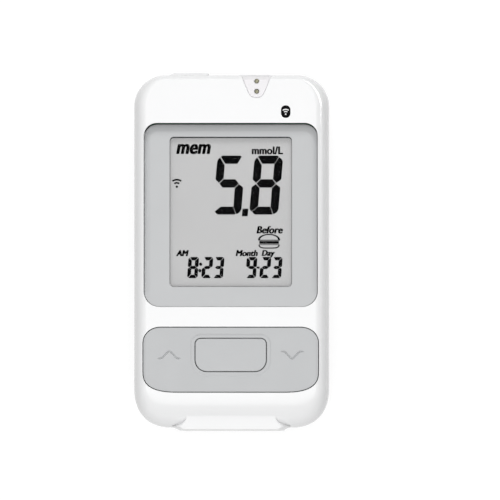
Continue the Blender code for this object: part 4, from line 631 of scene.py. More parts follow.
def front_form(inset, crown, low, edge=0.0):
    """The front's domed form, drawn in by inset, from z=low up to its flat crown."""
    rings = []
    if edge:
        rings.append(ring_at(case_outline(inset + edge, inset + edge, inset + edge), low))
    rings.append(ring_at(case_outline(inset, inset, inset), low + edge))
    for rise, level in quarter(ROUNDING_STEPS):
        sizes = (SIDE_ROUNDING, TOP_ROUNDING, BOTTOM_ROUNDING)
        outline = case_outline(*(inset + size * (1 - level) for size in sizes))
        rings.append(ring_at(outline, SHOULDER + (crown - SHOULDER) * rise))
    return loft(rings)


def rear_form(inset, floor, high, end_proud=0.0, edge=0.0):
    """The back's rounded form, drawn in by inset, from its flat floor up to z=high."""
    rings = []
    for step in range(ROUNDING_STEPS):
        turn = math.pi / 2 * (1 - step / ROUNDING_STEPS)
        draw = inset + REAR_ROUNDING * (1 - math.cos(turn))
        outline = case_outline(draw, draw, draw - end_proud)
        rings.append(ring_at(outline, REAR_DEPTH - (REAR_DEPTH - floor) * math.sin(turn)))
    rings.append(ring_at(case_outline(inset, inset, inset - end_proud), high - edge))
    if edge:
        draw = inset + edge
        rings.append(ring_at(case_outline(draw, draw, draw - end_proud), high))
    return loft(rings)


def rim_ring(outer, inner, low, high):
    """A ring that follows the case's rim, between two insets."""
    core = prism(case_outline(inner, inner, inner), low - BEYOND, high + BEYOND)
    return carved(prism(case_outline(outer, outer, outer), low, high), cuts(core))


def lip_ring(spread, z_of):
    """One ring of the lip, at the ramp's width at spread 0 and at its full width at 1."""
    edge = LIP_END + LIP_EDGE_ROUNDING * (1 - spread)
    shoulder, inner = LIP_END + LIP_SIDE_DEPTH, LIP_END + LIP_REACH
    front, narrow = LIP_EDGE_WIDTH / 2, LIP_TOP_WIDTH / 2
    wide = (LIP_RAMP_WIDTH + (LIP_MOUTH_WIDTH - LIP_RAMP_WIDTH) * spread) / 2
    shares = [step / LIP_STEPS for step in range(LIP_STEPS + 1)]
    side = []
    for share in shares[:-1]:
        side.append((front + (wide - front) * share, edge + (shoulder - edge) * share**2))
    for share in shares:
        flare = (1 - share) ** LIP_FLARE_POWER
        side.append((narrow + (wide - narrow) * flare, shoulder + (inner - shoulder) * share))
    side.append((narrow, inner + LIP_REACH))
    outline = side + [(-x, y) for x, y in reversed(side)]
    return [(x, y, z_of(y)) for x, y in outline]


def lip():
    """The lip at the bottom end: a ramp that falls more gently than the case's own slope."""
    def height(y, spread):
        share = (y - LIP_END) / LIP_REACH
        ramp = REAR_DEPTH + LIP_END_HEIGHT + (LIP_START_HEIGHT - LIP_END_HEIGHT) * share
        return ramp - LIP_FLANK_DROP * spread**LIP_FLANK_POWER * (1 - min(1.0, share))

    rings = [lip_ring(1.0, lambda y: FRONT_RIM)]
    for step in range(LIP_STEPS + 1):
        spread = 1 - step / LIP_STEPS
        rings.append(lip_ring(spread, lambda y, spread=spread: height(y, spread)))
    return loft(rings)


def knuckle_outline(radius):
    """The round side of the data port cover's hinge."""
    turns = [math.pi / 2 + math.pi * step / HINGE_STEPS for step in range(HINGE_STEPS + 1)]
    return [around(COVER_PIVOT, radius, turn) for turn in turns]


def cover_outline(draw):
    """The data port's cover from above, from its hinge to its free end, its outside drawn in."""
    centre = (COVER_FREE_END - COVER_EDGE, COVER_OUTSIDE - COVER_EDGE)
    points = knuckle_outline(KNUCKLE)
    points += [(COVER_PIVOT[0] + KNUCKLE, COVER_INSIDE), (COVER_FREE_END, COVER_INSIDE)]
    points += corner(centre, (COVER_EDGE, COVER_EDGE), 0.0, 2.0, SMALL_STEPS)
    points.append((COVER_PIVOT[0] + COVER_STEP, COVER_OUTSIDE))
    lowest = COVER_INSIDE + COVER_EDGE
    return [(x, y if y < lowest else lowest + (y - lowest) * (1 - draw)) for x, y in points]


def pocket_outline():
    """The pocket of the data port's cover from above, open to the outside."""
    radius = KNUCKLE + LOOSE_GAP
    pivot_x, pivot_y = COVER_PIVOT
    inside, beyond = COVER_INSIDE - LOOSE_GAP, SHELL_TOP + BEYOND
    free = COVER_FREE_END + COVER_END_GAP
    points = [(x, y) for x, y in knuckle_outline(radius) if y <= pivot_y]
    return points + [
        (pivot_x + radius, inside), (free, inside), (free, beyond), (pivot_x - radius, beyond),
    ]


def data_port_cutters():
    """The pocket for the data port's cover, its hinge sockets and the socket's window."""
    pocket = prism(pocket_outline(), COVER_LOW - LOOSE_GAP, COVER_HIGH + LOOSE_GAP)
    reach, tall = TRUNNION_LENGTH + LOOSE_GAP, DATA_TALL + FIT_GAP
    hinge = cylinder(
        TRUNNION + FIT_GAP, COVER_LOW - reach, COVER_HIGH + reach, COVER_PIVOT, HINGE_SIDES
    )
    window = slab(
        DATA_HALF + FIT_GAP, PORT_INSIDE - BEYOND, SHELL_TOP, DATA_Z - tall, DATA_Z + tall, DATA_X
    )
    return cuts(pocket, hinge, window)


def data_port_frame(low, high):
    """The block inside the case that holds the data port's cover, between two heights."""
    left, right = COVER_PIVOT[0] - KNUCKLE - PORT_FRAME_WALL, COVER_FREE_END + PORT_FRAME_WALL
    return box(left, right, PORT_INSIDE, SHELL_TOP - WALL / 2, low, high)


def screw_places():
    return [(side * x, y) for x, y in SCREW_PLACES for side in (-1, 1)]


def hole_from_below(mouth, radius, bevel, top, sides, place):
    """A cutter for a round hole in the back with a bevelled mouth."""
    return turned([(mouth, -BEYOND), (mouth, 0.0), (radius, bevel), (radius, top)], sides, place)


def front_shell():
    """The domed half with its lip and bosses, open for the frame, the keys and both ports."""
    cavity = front_form(WALL, FACE_Z - WALL, REAR_DEPTH - BEYOND)
    hollow = slab(
        LIP_TOP_WIDTH / 2 - WALL, LIP_END + WALL, LIP_END + WALL + LIP_REACH,
        REAR_DEPTH - BEYOND, REAR_DEPTH + LIP_END_HEIGHT - WALL,
    )
    rabbet = rim_ring(
        WALL - RIM_TONGUE - FIT_GAP, WALL + SEAM_GAP,
        REAR_DEPTH - BEYOND, REAR_DEPTH + RIM_TONGUE_HEIGHT + SEAM_GAP,
    )
    display_low, keys_low = BEZEL_UNDER - SEAT_GAP, FACE_Z - KEYPAD_DEPTH - KEYPAD_BELOW
    plate_low = FACE_Z - PORT_RECESS - PORT_PLATE
    block = slab(
        PORT_BLOCK_HALF + SEAT_GAP, SHELL_TOP - PORT_RECESS - PORT_BLOCK_DEPTH - BEYOND,
        SHELL_TOP + BEYOND, SLOT_LOW - SLOT_WALL - SEAT_GAP, plate_low + SEAT_GAP, PORT_X,
    )
    steps = joins(lip()) + cuts(cavity, hollow)
    steps += joins(data_port_frame(FRONT_RIM, COVER_HIGH + TRUNNION_LENGTH + PORT_FRAME_WALL))
    steps += cuts(
        rabbet,
        flared(opening_outline, 0.0, display_low, OPENING_EDGE, face_height),
        flared(keypad_outline, PANEL_GAP, keys_low, OPENING_EDGE, face_height),
        flared(port_outline, PORT_GAP, plate_low - SEAT_GAP, PORT_EDGE, lambda x, y: FACE_Z),
        block,
        prism(badge_outline(HAIR), FACE_Z - BADGE_DEPTH, FACE_Z + BEYOND),
    )
    made = carved(front_form(0.0, FACE_Z, FRONT_RIM, SEAM_EDGE), steps + data_port_cutters())
    for place in screw_places():
        top = face_height(*place) - BOSS_BELOW_FACE
        made = added(made, cylinder(BOSS_RADIUS, FRONT_RIM, top, place, ROUND_SIDES))
    finished(made, "front_shell", "case")


def rear_shell():
    """The flat half with its battery bay, door rails, columns, rim tongue and holes."""
    limit = rear_form(WALL / 2, WALL / 4, REAR_DEPTH + REAR_LIMIT)

    def inside(solid):
        return carved(solid, [("INTERSECT", limit.copy())])

    floor = WALL / 2
    bay_low, bay_high = BAY_LOW - BAY_WALL, BAY_HIGH + BAY_WALL
    groove = DOOR_HALF + DOOR_TONGUE + FIT_GAP
    rail_high, rail_top = DOOR_HIGH + RAIL_WALL, DOOR_THICKNESS + FIT_GAP + RAIL_HEIGHT
    solids = [
        rim_ring(
            WALL - RIM_TONGUE, WALL - FIT_GAP, REAR_RIM - RIM_TONGUE_HEIGHT,
            REAR_DEPTH + RIM_TONGUE_HEIGHT,
        ),
        inside(slab(BAY_HALF + BAY_WALL, bay_low, bay_high, floor, BAY_TOP)),
        inside(slab(groove + RAIL_WALL, bay_low, rail_high, floor, rail_top)),
    ]
    solids += [inside(cylinder(COLUMN_RADIUS, floor, REAR_RIM, place)) for place in screw_places()]
    solids += [cylinder(BOARD_COLUMN_RADIUS, floor, BAY_TOP, place) for place in BOARD_SCREW_PLACES]
    frame_low = COVER_LOW - TRUNNION_LENGTH - PORT_FRAME_WALL
    solids.append(data_port_frame(frame_low, REAR_RIM - SEAT_GAP))
    limit.free()
    beyond, door_high = SHELL_BOTTOM - BEYOND, DOOR_HIGH + FIT_GAP
    tongue_low, tongue_top = DOOR_TONGUE_LOW - FIT_GAP, DOOR_THICKNESS + FIT_GAP
    end_half, end_top = DOOR_END_HALF + FIT_GAP, REAR_DEPTH + DOOR_END_RISE
    holes = [
        slab(DOOR_HALF + FIT_GAP, beyond, door_high, -BEYOND, DOOR_THICKNESS),
        slab(groove, beyond, door_high, tongue_low, tongue_top),
        slab(BAY_HALF, BAY_LOW, BAY_HIGH, DOOR_THICKNESS, BAY_ROOF_LOW),
        slab(end_half, beyond, bay_low + SEAT_GAP, -BEYOND, end_top),
    ]
    for place in screw_places():
        holes.append(hole_from_below(*SCREW_HOLE, SCREW_HOLE_TOP, FINE_SIDES, place))
        holes.append(cylinder(SCREW_BORE, SCREW_HOLE_TOP - BEYOND, REAR_DEPTH + BEYOND, place))
    holes.append(hole_from_below(*SOUND_HOLE, WALL + BEYOND, ROUND_SIDES, SOUND_PLACE))
    steps = cuts(rear_form(WALL, WALL, REAR_DEPTH + BEYOND)) + joins(*solids) + cuts(*holes)
    made = carved(rear_form(0.0, 0.0, REAR_RIM, 0.0, SEAM_EDGE), steps + data_port_cutters())
    finished(made, "rear_shell", "case")


def battery_door():
    """A sliding door: a plate with side tongues and a curved end that fills the case's end."""
    def ring(half, bottom, top, z):
        return ring_at(box_outline(-half, half, bottom, top), z)

    beyond = LIP_END - BEYOND
    plate = loft([
        ring(DOOR_HALF - DOOR_BEVEL, beyond, DOOR_HIGH - DOOR_BEVEL, -HAIR),
        ring(DOOR_HALF, beyond, DOOR_HIGH, DOOR_BEVEL),
        ring(DOOR_HALF, beyond, DOOR_HIGH, DOOR_THICKNESS),
    ])
    tongues = slab(DOOR_HALF + DOOR_TONGUE, beyond, DOOR_HIGH, DOOR_TONGUE_LOW, DOOR_THICKNESS)
    end_inside = BAY_LOW - BAY_WALL - LOOSE_GAP
    end = slab(DOOR_END_HALF, beyond, end_inside, -BEYOND, REAR_DEPTH - LOOSE_GAP)
    steps = joins(tongues, end)
    steps.append(("INTERSECT", rear_form(0.0, 0.0, REAR_DEPTH, LIP_PROUD)))
    for index in range(GRIP_COUNT):
        low = SHELL_BOTTOM + GRIP_START + GRIP_STEP * index
        high = low + GRIP_WIDTH
        steps += cuts(loft([
            ring(GRIP_HALF + GRIP_EDGE, low - GRIP_EDGE, high + GRIP_EDGE, -HAIR),
            ring(GRIP_HALF, low, high, GRIP_EDGE),
            ring(GRIP_HALF, low, high, GRIP_DEPTH),
        ]))
    finished(carved(plate, steps), "battery_door", "door")


def port_cover():
    """The data port's cover, its long edges drawn in where they meet the case."""
    rings = []
    for start, part in ((COVER_LOW, 0), (COVER_HIGH - COVER_RISE, 1)):
        for step, turn in enumerate(quarter(SMALL_STEPS)):
            outline = cover_outline(COVER_DRAW * (1 - turn[part]))
            rings.append(ring_at(outline, start + COVER_RISE * step / SMALL_STEPS))
    low, high = COVER_LOW - TRUNNION_LENGTH, COVER_HIGH + TRUNNION_LENGTH
    plug = slab(
        PLUG_HALF, COVER_INSIDE - PLUG_REACH, COVER_OUTSIDE - KNUCKLE,
        DATA_Z - PLUG_TALL, DATA_Z + PLUG_TALL, DATA_X,
    )
    hinge = cylinder(TRUNNION, low, high, COVER_PIVOT, HINGE_SIDES)
    made = carved(loft(rings), joins(hinge, plug))
    finished(made, "port_cover", "cover")


def strip_port():
    """The V on the face with the block round the strip slot, and its two pins."""
    top = FACE_Z - PORT_RECESS
    low = top - PORT_PLATE
    inside, beyond = SHELL_TOP - PORT_RECESS - PORT_BLOCK_DEPTH, SHELL_TOP + BEYOND
    draw = PORT_CHAMFER * 1.3
    plate = stacked(port_outline, (
        (0.0, low), (0.0, top - PORT_CHAMFER), (-draw, top + PORT_CHAMFER * 0.3),
        (-draw, top + BEYOND),
    ))
    block = slab(PORT_BLOCK_HALF, inside, beyond, SLOT_LOW - SLOT_WALL, low, PORT_X)
    neck = slab(PORT_NECK_HALF, inside, beyond, low - SEAT_GAP, low + SEAT_GAP, PORT_X)
    slot = slab(SLOT_HALF, inside - BEYOND, beyond, SLOT_LOW, SLOT_HIGH, PORT_X)
    rings = []
    for edge, y in ((0.0, SHELL_TOP - SLOT_FLARE_IN), (SLOT_FLARE, SHELL_TOP + SLOT_FLARE_OUT)):
        half = SLOT_HALF + edge
        mouth = box_outline(PORT_X - half, PORT_X + half, SLOT_LOW - edge, SLOT_HIGH + edge)
        rings.append([(x, y, z) for x, z in mouth])
    flare = loft(rings)
    bmesh.ops.recalc_face_normals(flare, faces=flare.faces)
    steps = joins(neck, block) + [("INTERSECT", front_form(PORT_RECESS, top, REAR_DEPTH))]
    steps += cuts(slot, flare)
    pin_low = top + PIN_PROUD - PIN_LENGTH
    seat, wide = PIN_RADIUS + SEAT_GAP, PIN_RADIUS + 2.5 * SEAT_GAP
    profile = [
        (seat, pin_low - SEAT_GAP), (seat, top - PIN_BEVEL_LOW), (wide, top + PIN_BEVEL_HIGH),
        (wide, FACE_Z),
    ]
    steps += cuts(*(turned(profile, ROUND_SIDES, place) for place in PIN_PLACES))
    finished(carved(plate, steps), "strip_port_insert", "case", name="strip_port_fine")
    profile = [(PIN_RADIUS, pin_low)]
    for rise, level in quarter(SMALL_STEPS):
        radius = PIN_RADIUS * (0.12 + 0.88 * level)
        profile.append((radius, pin_low + PIN_LENGTH - PIN_DOME * (1 - rise)))
    for name, place in zip(("port_pin_top", "port_pin_low"), PIN_PLACES):
        finished(turned(profile, ROUND_SIDES, place), name, "case", 60.0)


# Display frame and keys


def display_bezel():
    """The grey frame, sunk at the strip port end, with round edges at the case and the window."""
    plate = round_topped(
        bezel_outline, BEZEL_UNDER, BEZEL_EDGE, bezel_height, BEZEL_INSETS, bezel_dip
    )
    margin, size = LENS_MARGIN + FIT_GAP, (WINDOW_CORNER, WINDOW_CORNER)
    half, ends = WINDOW_HALF + margin, (WINDOW_LOW - margin, WINDOW_HIGH + margin)
    pocket = rounded_outline(-half, half, *ends, size, size, LENS_POCKET_STEPS)
    pocket = lifted(prism(pocket, BEZEL_UNDER - BEYOND, LENS_HIGH + SEAT_GAP))
    window = flared(window_outline, 0.0, LENS_LOW - BEYOND, WINDOW_EDGE, bezel_height)
    made = carved(plate, cuts(pocket, window))
    finished(made, "display_bezel", "case")


def groove_along(points, width, depth):
    """A cutter with a round bottom along a line on the face, thinning out at both ends."""
    last, over = len(points) - 1, FACE_Z + GROOVE_OVER
    rings = []
    for index, point in enumerate(points):
        here = Vector(point)
        before, after = Vector(points[max(0, index - 1)]), Vector(points[min(last, index + 1)])
        way = (after - before).normalized()
        across = Vector((-way.y, way.x))
        fade = min(1.0, 0.4 + 0.6 * min(index, last - index) / 2)
        half, deep = width / 2 * fade, depth * fade
        ring = [(here + across * half, over)]
        for step in range(7):
            turn = math.pi * step / 6
            ring.append((here + across * half * math.cos(turn), FACE_Z - deep * math.sin(turn)))
        ring.append((here - across * half, over))
        rings.append([(place.x, place.y, z) for place, z in ring])
    made = loft(rings)
    bmesh.ops.recalc_face_normals(made, faces=made.faces)
    return made


# The right half of a chevron, in millimetres from its middle
ARROW_HALF = (
    (0.0, 1.02), (0.2, 0.96), (0.42, 0.78), (0.7, 0.49), (1.05, 0.13), (1.4, -0.23), (1.7, -0.55),
    (1.95, -0.78), (2.2, -0.91), (2.5, -0.96), (2.8, -0.95), (3.1, -0.92),
)


def arrow_line(x, sign):
    """A soft chevron, upwards for sign 1 and downwards for sign -1."""
    half = [(side * MM, up * MM) for side, up in ARROW_HALF]
    line = [(-side, up) for side, up in reversed(half[1:])] + half
    return [(x + side, BUTTON_Y + sign * up) for side, up in line]


def keypad_dip(x, y):
    """How far the rocking key's face falls at its edge, which is most at its two ends."""
    return KEYPAD_DIP * min(1.0, abs(x) / BUTTON_HALF) ** 2


def dish_height(x, y):
    return FACE_Z - DISH_DEPTH


def rocker_key():
    """The rocking key with its shallow dish and two chevrons, and its ribs and feet."""
    low, skin = FACE_Z - KEYPAD_DEPTH, FACE_Z - KEYPAD_SKIN
    body = round_topped(
        keypad_outline, low, KEY_EDGE, face_height, KEYPAD_INSETS, keypad_dip
    )
    hollow = prism(keypad_outline(-KEYPAD_WALL), low - BEYOND, skin)
    heights = (-DISH_DEPTH, -DISH_DEPTH * 0.9, -DISH_DEPTH * 0.2, HAIR, BEYOND)
    levels = [(KEY_GAP + reach, FACE_Z + height) for reach, height in zip(DISH_REACHES, heights)]
    dish = stacked(button_outline, levels)
    hole = flared(button_outline, KEY_GAP, low - BEYOND, OPENING_EDGE, dish_height)
    made = carved(body, cuts(hollow, dish, hole))
    for x, sign in ((-ARROW_X, 1), (ARROW_X, -1)):
        groove = groove_along(arrow_line(x, sign), ARROW_WIDTH, ARROW_DEPTH)
        made = carved(made, cuts(groove), own_crossings=True)
    for first, last in (
        (BUTTON_HIGH + RIB_INSIDE_GAP, KEYPAD_HIGH - RIB_OUTSIDE_GAP),
        (KEYPAD_LOW + RIB_OUTSIDE_GAP, BUTTON_LOW - RIB_INSIDE_GAP),
    ):
        made = added(made, slab(RIB_HALF, first, last, RIB_LOW, skin + SEAT_GAP))
    for x in (-ARROW_X, ARROW_X):
        made = added(made, cylinder(FOOT_RADIUS, FOOT_LOW, skin + SEAT_GAP, (x, BUTTON_Y)))
    finished(made, "rocker_key", "rocker")


def main_button():
    """The button in its hole: a hollow cap, a flange under the key's skin and a post."""
    top, flange_top = FACE_Z - DISH_DEPTH, FACE_Z - KEYPAD_SKIN - FLANGE_BELOW_SKIN
    flange_low = flange_top - FLANGE_THICKNESS
    inside = button_outline(-BUTTON_WALL)
    cap = round_topped(
        button_outline, flange_low + SEAT_GAP, KEY_EDGE, lambda x, y: top - BUTTON_SINK, CAP_INSETS
    )
    cap = carved(cap, cuts(prism(inside, flange_low - BEYOND, top - BUTTON_SKIN)))
    flange = prism(button_outline(KEY_GAP + FLANGE_REACH), flange_low, flange_top)
    flange = carved(flange, cuts(prism(inside, flange_low - BEYOND, top)))
    post = cylinder(FOOT_RADIUS, POST_LOW, top - BUTTON_SKIN + SEAT_GAP, (0.0, BUTTON_Y))
    finished(added(cap, flange, post), "main_button", "button")


# Nodes that keep their own shape


def refined(cad_name, *more):
    """A node's own shape, welded and with its round faces shaded smooth, and more solids."""
    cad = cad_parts[cad_name]
    made = bmesh.new()
    made.from_mesh(cad.data)
    made.transform(cad.matrix_world)
    bmesh.ops.remove_doubles(made, verts=made.verts, dist=WIDE_WELD)
    bmesh.ops.dissolve_limit(made, angle_limit=math.radians(0.5), verts=made.verts, edges=made.edges)
    finished(added(made, *more), cad_name, "case", 40.0)


REFINED = (
    "battery_left", "battery_right", "battery_spring_left", "battery_spring_right", "data_socket",
    "buzzer", "case_screw_top_left", "case_screw_top_right", "case_screw_bottom_left",
    "case_screw_bottom_right", "board_screw_left", "board_screw_right", "snap_dome_left",
    "snap_dome_main", "snap_dome_right",
)


def display_glass():
    """The lens close under the bezel's face, and the display's glass under the lens."""
    lens = lifted(prism(window_outline(LENS_MARGIN), LENS_LOW, LENS_HIGH))
    finished(lens, "display_lens", "case")
    outline = window_outline(GLASS_MARGIN)
    upper = ring_on(outline, lambda x, y: LCD_TOP + DISPLAY_LIFT + DISPLAY_TILT * y)
    refined("lcd_panel", loft([ring_at(outline, LCD_TOP - GLASS_SINK), upper]))


# Display contents: the outlines of a figure's segments, in millimetres

LARGE_SEGMENTS = {
    "a": [(1.15, 15.74), (1.5, 16.0), (6.35, 16.0), (6.74, 15.74), (5.74, 13.88), (2.45, 13.88)],
    "b": [(6.9, 15.55), (7.55, 15.1), (7.95, 14.4), (7.92, 9.65), (7.82, 9.48), (6.75, 8.66),
          (5.74, 9.66), (5.78, 13.6)],
    "c": [(6.65, 8.2), (7.78, 7.35), (7.83, 7.1), (7.83, 1.5), (7.55, 0.75), (7.0, 0.28), (6.6, 0.15),
          (5.7, 2.03), (5.64, 7.1)],
    "d": [(0.7, 0.75), (1.15, 0.3), (1.6, 0.0), (6.1, 0.0), (6.35, 0.12), (5.5, 2.04), (2.2, 2.04)],
    "e": [(1.1, 8.2), (2.2, 7.1), (2.2, 2.28), (0.5, 0.85), (0.15, 1.3), (0.0, 1.8), (0.06, 7.3),
          (0.15, 7.45)],
    "f": [(1.15, 8.68), (0.25, 9.5), (0.2, 9.65), (0.24, 14.3), (0.4, 14.9), (0.9, 15.5),
          (2.28, 13.42), (2.28, 9.86)],
    "g": [(1.35, 8.43), (2.34, 9.52), (5.52, 9.52), (6.5, 8.43), (5.52, 7.37), (2.27, 7.37)],
}
SMALL_SEGMENTS = {
    "a": [(0.5, 5.66), (0.7, 5.74), (2.3, 5.74), (2.52, 5.64), (1.95, 4.86), (0.98, 4.86)],
    "b": [(2.66, 5.52), (2.85, 5.15), (2.85, 3.25), (2.42, 2.98), (1.88, 3.35), (1.88, 4.66)],
    "c": [(2.42, 2.8), (2.82, 2.5), (2.82, 0.55), (2.62, 0.2), (1.88, 1.08), (1.88, 2.42)],
    "d": [(0.38, 0.1), (0.6, 0.0), (2.28, 0.0), (2.48, 0.08), (1.95, 0.88), (0.98, 0.88)],
    "e": [(0.42, 2.8), (0.95, 2.42), (0.95, 1.08), (0.22, 0.22), (0.0, 0.55), (0.0, 2.5)],
    "f": [(0.42, 2.98), (0.0, 3.25), (0.0, 5.15), (0.3, 5.52), (0.95, 4.66), (0.95, 3.35)],
    "g": [(0.52, 2.89), (1.0, 3.3), (1.83, 3.3), (2.32, 2.89), (1.83, 2.48), (1.0, 2.48)],
}
LIT = {"2": "abged", "3": "abgcd", "5": "afgcd", "8": "abcdefg", "9": "abcdfg"}


def signed_area(outline):
    total = 0.0
    for (x1, y1), (x2, y2) in zip(outline, outline[1:] + outline[:1]):
        total += x1 * y2 - x2 * y1
    return total / 2


def add_prism(made, outline, low, high):
    """Adds a closed prism over an outline to a mesh."""
    if signed_area(outline) < 0:
        outline = outline[::-1]
    lower = [made.verts.new((x, y, low)) for x, y in outline]
    upper = [made.verts.new((x, y, high)) for x, y in outline]
    for i in range(len(outline)):
        j = (i + 1) % len(outline)
        made.faces.new((lower[i], lower[j], upper[j], upper[i]))
    made.faces.new(lower[::-1])
    made.faces.new(upper)


def grown(outline, reach):
    """An outline whose edges are moved out by reach."""
    if signed_area(outline) < 0:
        outline = outline[::-1]
    points = []
    for before, here, after in zip(outline[-1:] + outline[:-1], outline, outline[1:] + outline[:1]):
        first = (Vector(here) - Vector(before)).normalized()
        second = (Vector(after) - Vector(here)).normalized()
        out = Vector((first.y + second.y, -first.x - second.x)).normalized()
        share = max(0.5, out.dot(Vector((first.y, -first.x))))
        points.append(tuple(Vector(here) + out * reach / share))
    return points


def add_ink(made, outline, slant=0.0, left=0.0, low=0.0):
    """Adds a flat mark to the display, from an outline in millimetres and a place in millimetres."""
    placed = [((left + x + slant * y) * MM, (low + y) * MM) for x, y in outline]
    add_prism(made, placed, LCD_TOP, LCD_TOP + INK_THICKNESS)


def mark_on_case(name, made, material):
    """A mark that rides on the case: print, display ink, and the painted shadow round the window's
    edge.
    """
    thing = object_from(name, made, material)
    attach(thing, "case")


def add_figures(made, segments, figures, low, slant, growth):
    """Adds figures to the display, each with its left edge; lengths in millimetres."""
    for figure, left in figures:
        for segment in LIT[figure]:
            add_ink(made, grown(segments[segment], growth), slant, left, low)


# Figures with their left edges, and the outlines of the marks between them, in millimetres
LARGE_FIGURES = (("5", -5.12), ("8", 5.03))
SMALL_FIGURES = (("8", -11.95), ("2", -8.07), ("3", -5.0), ("9", 4.0), ("2", 7.8), ("3", 10.9))
COLON_DOT = ((0.0, 0.35), (0.3, 0.0), (0.62, 0.12), (0.68, 0.4), (0.4, 0.72), (0.1, 0.62))
DASH = ((0.0, 0.1), (0.7, 0.0), (0.78, 0.42), (0.08, 0.5))


def display_digits():
    """The reading with its point, and the time and the date with the colon and the dash."""
    made = bmesh.new()
    add_figures(made, LARGE_SEGMENTS, LARGE_FIGURES, low=10.3, slant=0.081, growth=0.055)
    add_ink(made, box_outline(0.0, 1.6, 0.0, 2.1), 0.1, 2.98, 9.76)
    add_figures(made, SMALL_SEGMENTS, SMALL_FIGURES, low=-7.12, slant=0.07, growth=0.02)
    for left, low in ((-8.6, -3.7), (-8.82, -5.45)):
        add_ink(made, grown(COLON_DOT, 0.1), 0.0, left, low)
    add_ink(made, grown(DASH, 0.06), 0.0, 7.05, -4.5)
    mark_on_case("lcd_digits", lifted(made), INK)


# Words of the display: the box in millimetres, the strokes' growth across and up, the slant
WORDS = (
    ("lcd_memory", "mem", -14.98, -5.48, 26.75, 29.55, 0.24, 0.14, 0.22),
    ("lcd_unit", "mmol/L", 5.7, 14.25, 26.7, 28.88, 0.14, 0.07, 0.0),
    ("lcd_before", "Before", 7.0, 14.25, 5.05, 7.1, 0.15, 0.05, 0.22),
    ("lcd_morning", "AM", -15.0, -11.5, -1.15, 0.52, 0.16, 0.06, 0.22),
    ("lcd_month", "Month", 1.3, 7.4, -1.15, 0.55, 0.14, 0.04, 0.22),
    ("lcd_day", "Day", 8.4, 12.05, -1.55, 0.52, 0.15, 0.05, 0.22),
)


def letters(name, text, left, right, low, high, grow_across, grow_up, slant):
    """A word fitted to a box in millimetres, its strokes grown by copies moved all round."""
    curve = bpy.data.curves.new(name, "FONT")
    curve.body = text
    curve.shear = slant
    curve.space_character = 1.05
    flat = placed(name, curve)
    bpy.context.view_layer.update()
    evaluated = flat.evaluated_get(bpy.context.evaluated_depsgraph_get())
    mesh = bpy.data.meshes.new_from_object(evaluated)
    bpy.data.objects.remove(flat)
    xs = [vertex.co.x for vertex in mesh.vertices]
    ys = [vertex.co.y for vertex in mesh.vertices]
    left, right, low, high = left + grow_across, right - grow_across, low + grow_up, high - grow_up
    for vertex in mesh.vertices:
        across = (vertex.co.x - min(xs)) / (max(xs) - min(xs))
        up = (vertex.co.y - min(ys)) / (max(ys) - min(ys))
        x, y = left + across * (right - left), low + up * (high - low)
        vertex.co = (x * MM, y * MM, LCD_TOP)
    made = bmesh.new()
    for step in range(8):
        angle = math.pi / 4 * step
        move = (grow_across * math.cos(angle) * MM, grow_up * math.sin(angle) * MM, 0.0)
        copy = bmesh.new()
        copy.from_mesh(mesh)
        bmesh.ops.remove_doubles(copy, verts=copy.verts, dist=WIDE_WELD)
        extruded = bmesh.ops.extrude_face_region(copy, geom=copy.faces[:])["geom"]
        upper = [part for part in extruded if isinstance(part, bmesh.types.BMVert)]
        bmesh.ops.translate(copy, verts=upper, vec=(0.0, 0.0, INK_THICKNESS))
        bmesh.ops.recalc_face_normals(copy, faces=copy.faces)
        copy.transform(Matrix.Translation(move))
        made = added(made, copy)
    bpy.data.meshes.remove(mesh)
    mark_on_case(name, lifted(made), INK)


def arc_band(centre, radius, width, start, end, steps):
    """The outline of a part of a ring, between two angles in degrees."""
    angles = [math.radians(start + (end - start) * step / steps) for step in range(steps + 1)]
    outer = [around(centre, radius + width / 2, angle) for angle in angles]
    return outer + [around(centre, radius - width / 2, angle) for angle in reversed(angles)]


def waves(centre, size):
    """Outlines of a dot with arcs above it, the plain sign of a radio link."""
    foot = (centre[0], centre[1] - size * 0.42)
    outlines = [[around(foot, size * 0.15, 2 * math.pi * step / 20) for step in range(20)]]
    for share in (0.5, 0.9):
        outlines.append(arc_band(foot, size * share, size * 0.21, 52.0, 128.0, 12))
    return outlines


def window_print_and_painted_shadow():
    """The dark line round the window's edge on the underside of its lens: partly a printed border,
    partly painted shadow, widest at the top where the bezel's wall shades the window.
    """
    low, high = LENS_LOW - PRINT_AND_SHADOW_LOW, LENS_LOW - PRINT_AND_SHADOW_HIGH
    outer = slab(
        WINDOW_HALF + PRINT_AND_SHADOW_MARGIN, WINDOW_LOW - PRINT_AND_SHADOW_MARGIN, WINDOW_HIGH + PRINT_AND_SHADOW_MARGIN, low, high
    )
    left, right, bottom, top = PRINT_AND_SHADOW_EDGES
    size = (PRINT_AND_SHADOW_CORNER, PRINT_AND_SHADOW_CORNER)
    inner = rounded_outline(
        -WINDOW_HALF + left, WINDOW_HALF - right, WINDOW_LOW + bottom, WINDOW_HIGH - top,
        size, size, SMALL_STEPS,
    )
    made = carved(outer, cuts(prism(inner, low - BEYOND, high + BEYOND)))
    # Painted shadow: the line is widest at the top, where the bezel's wall throws shade on the window
    mark_on_case("lens_print_and_painted_shadow", lifted(made), PRINT_AND_SHADOW_GREY)


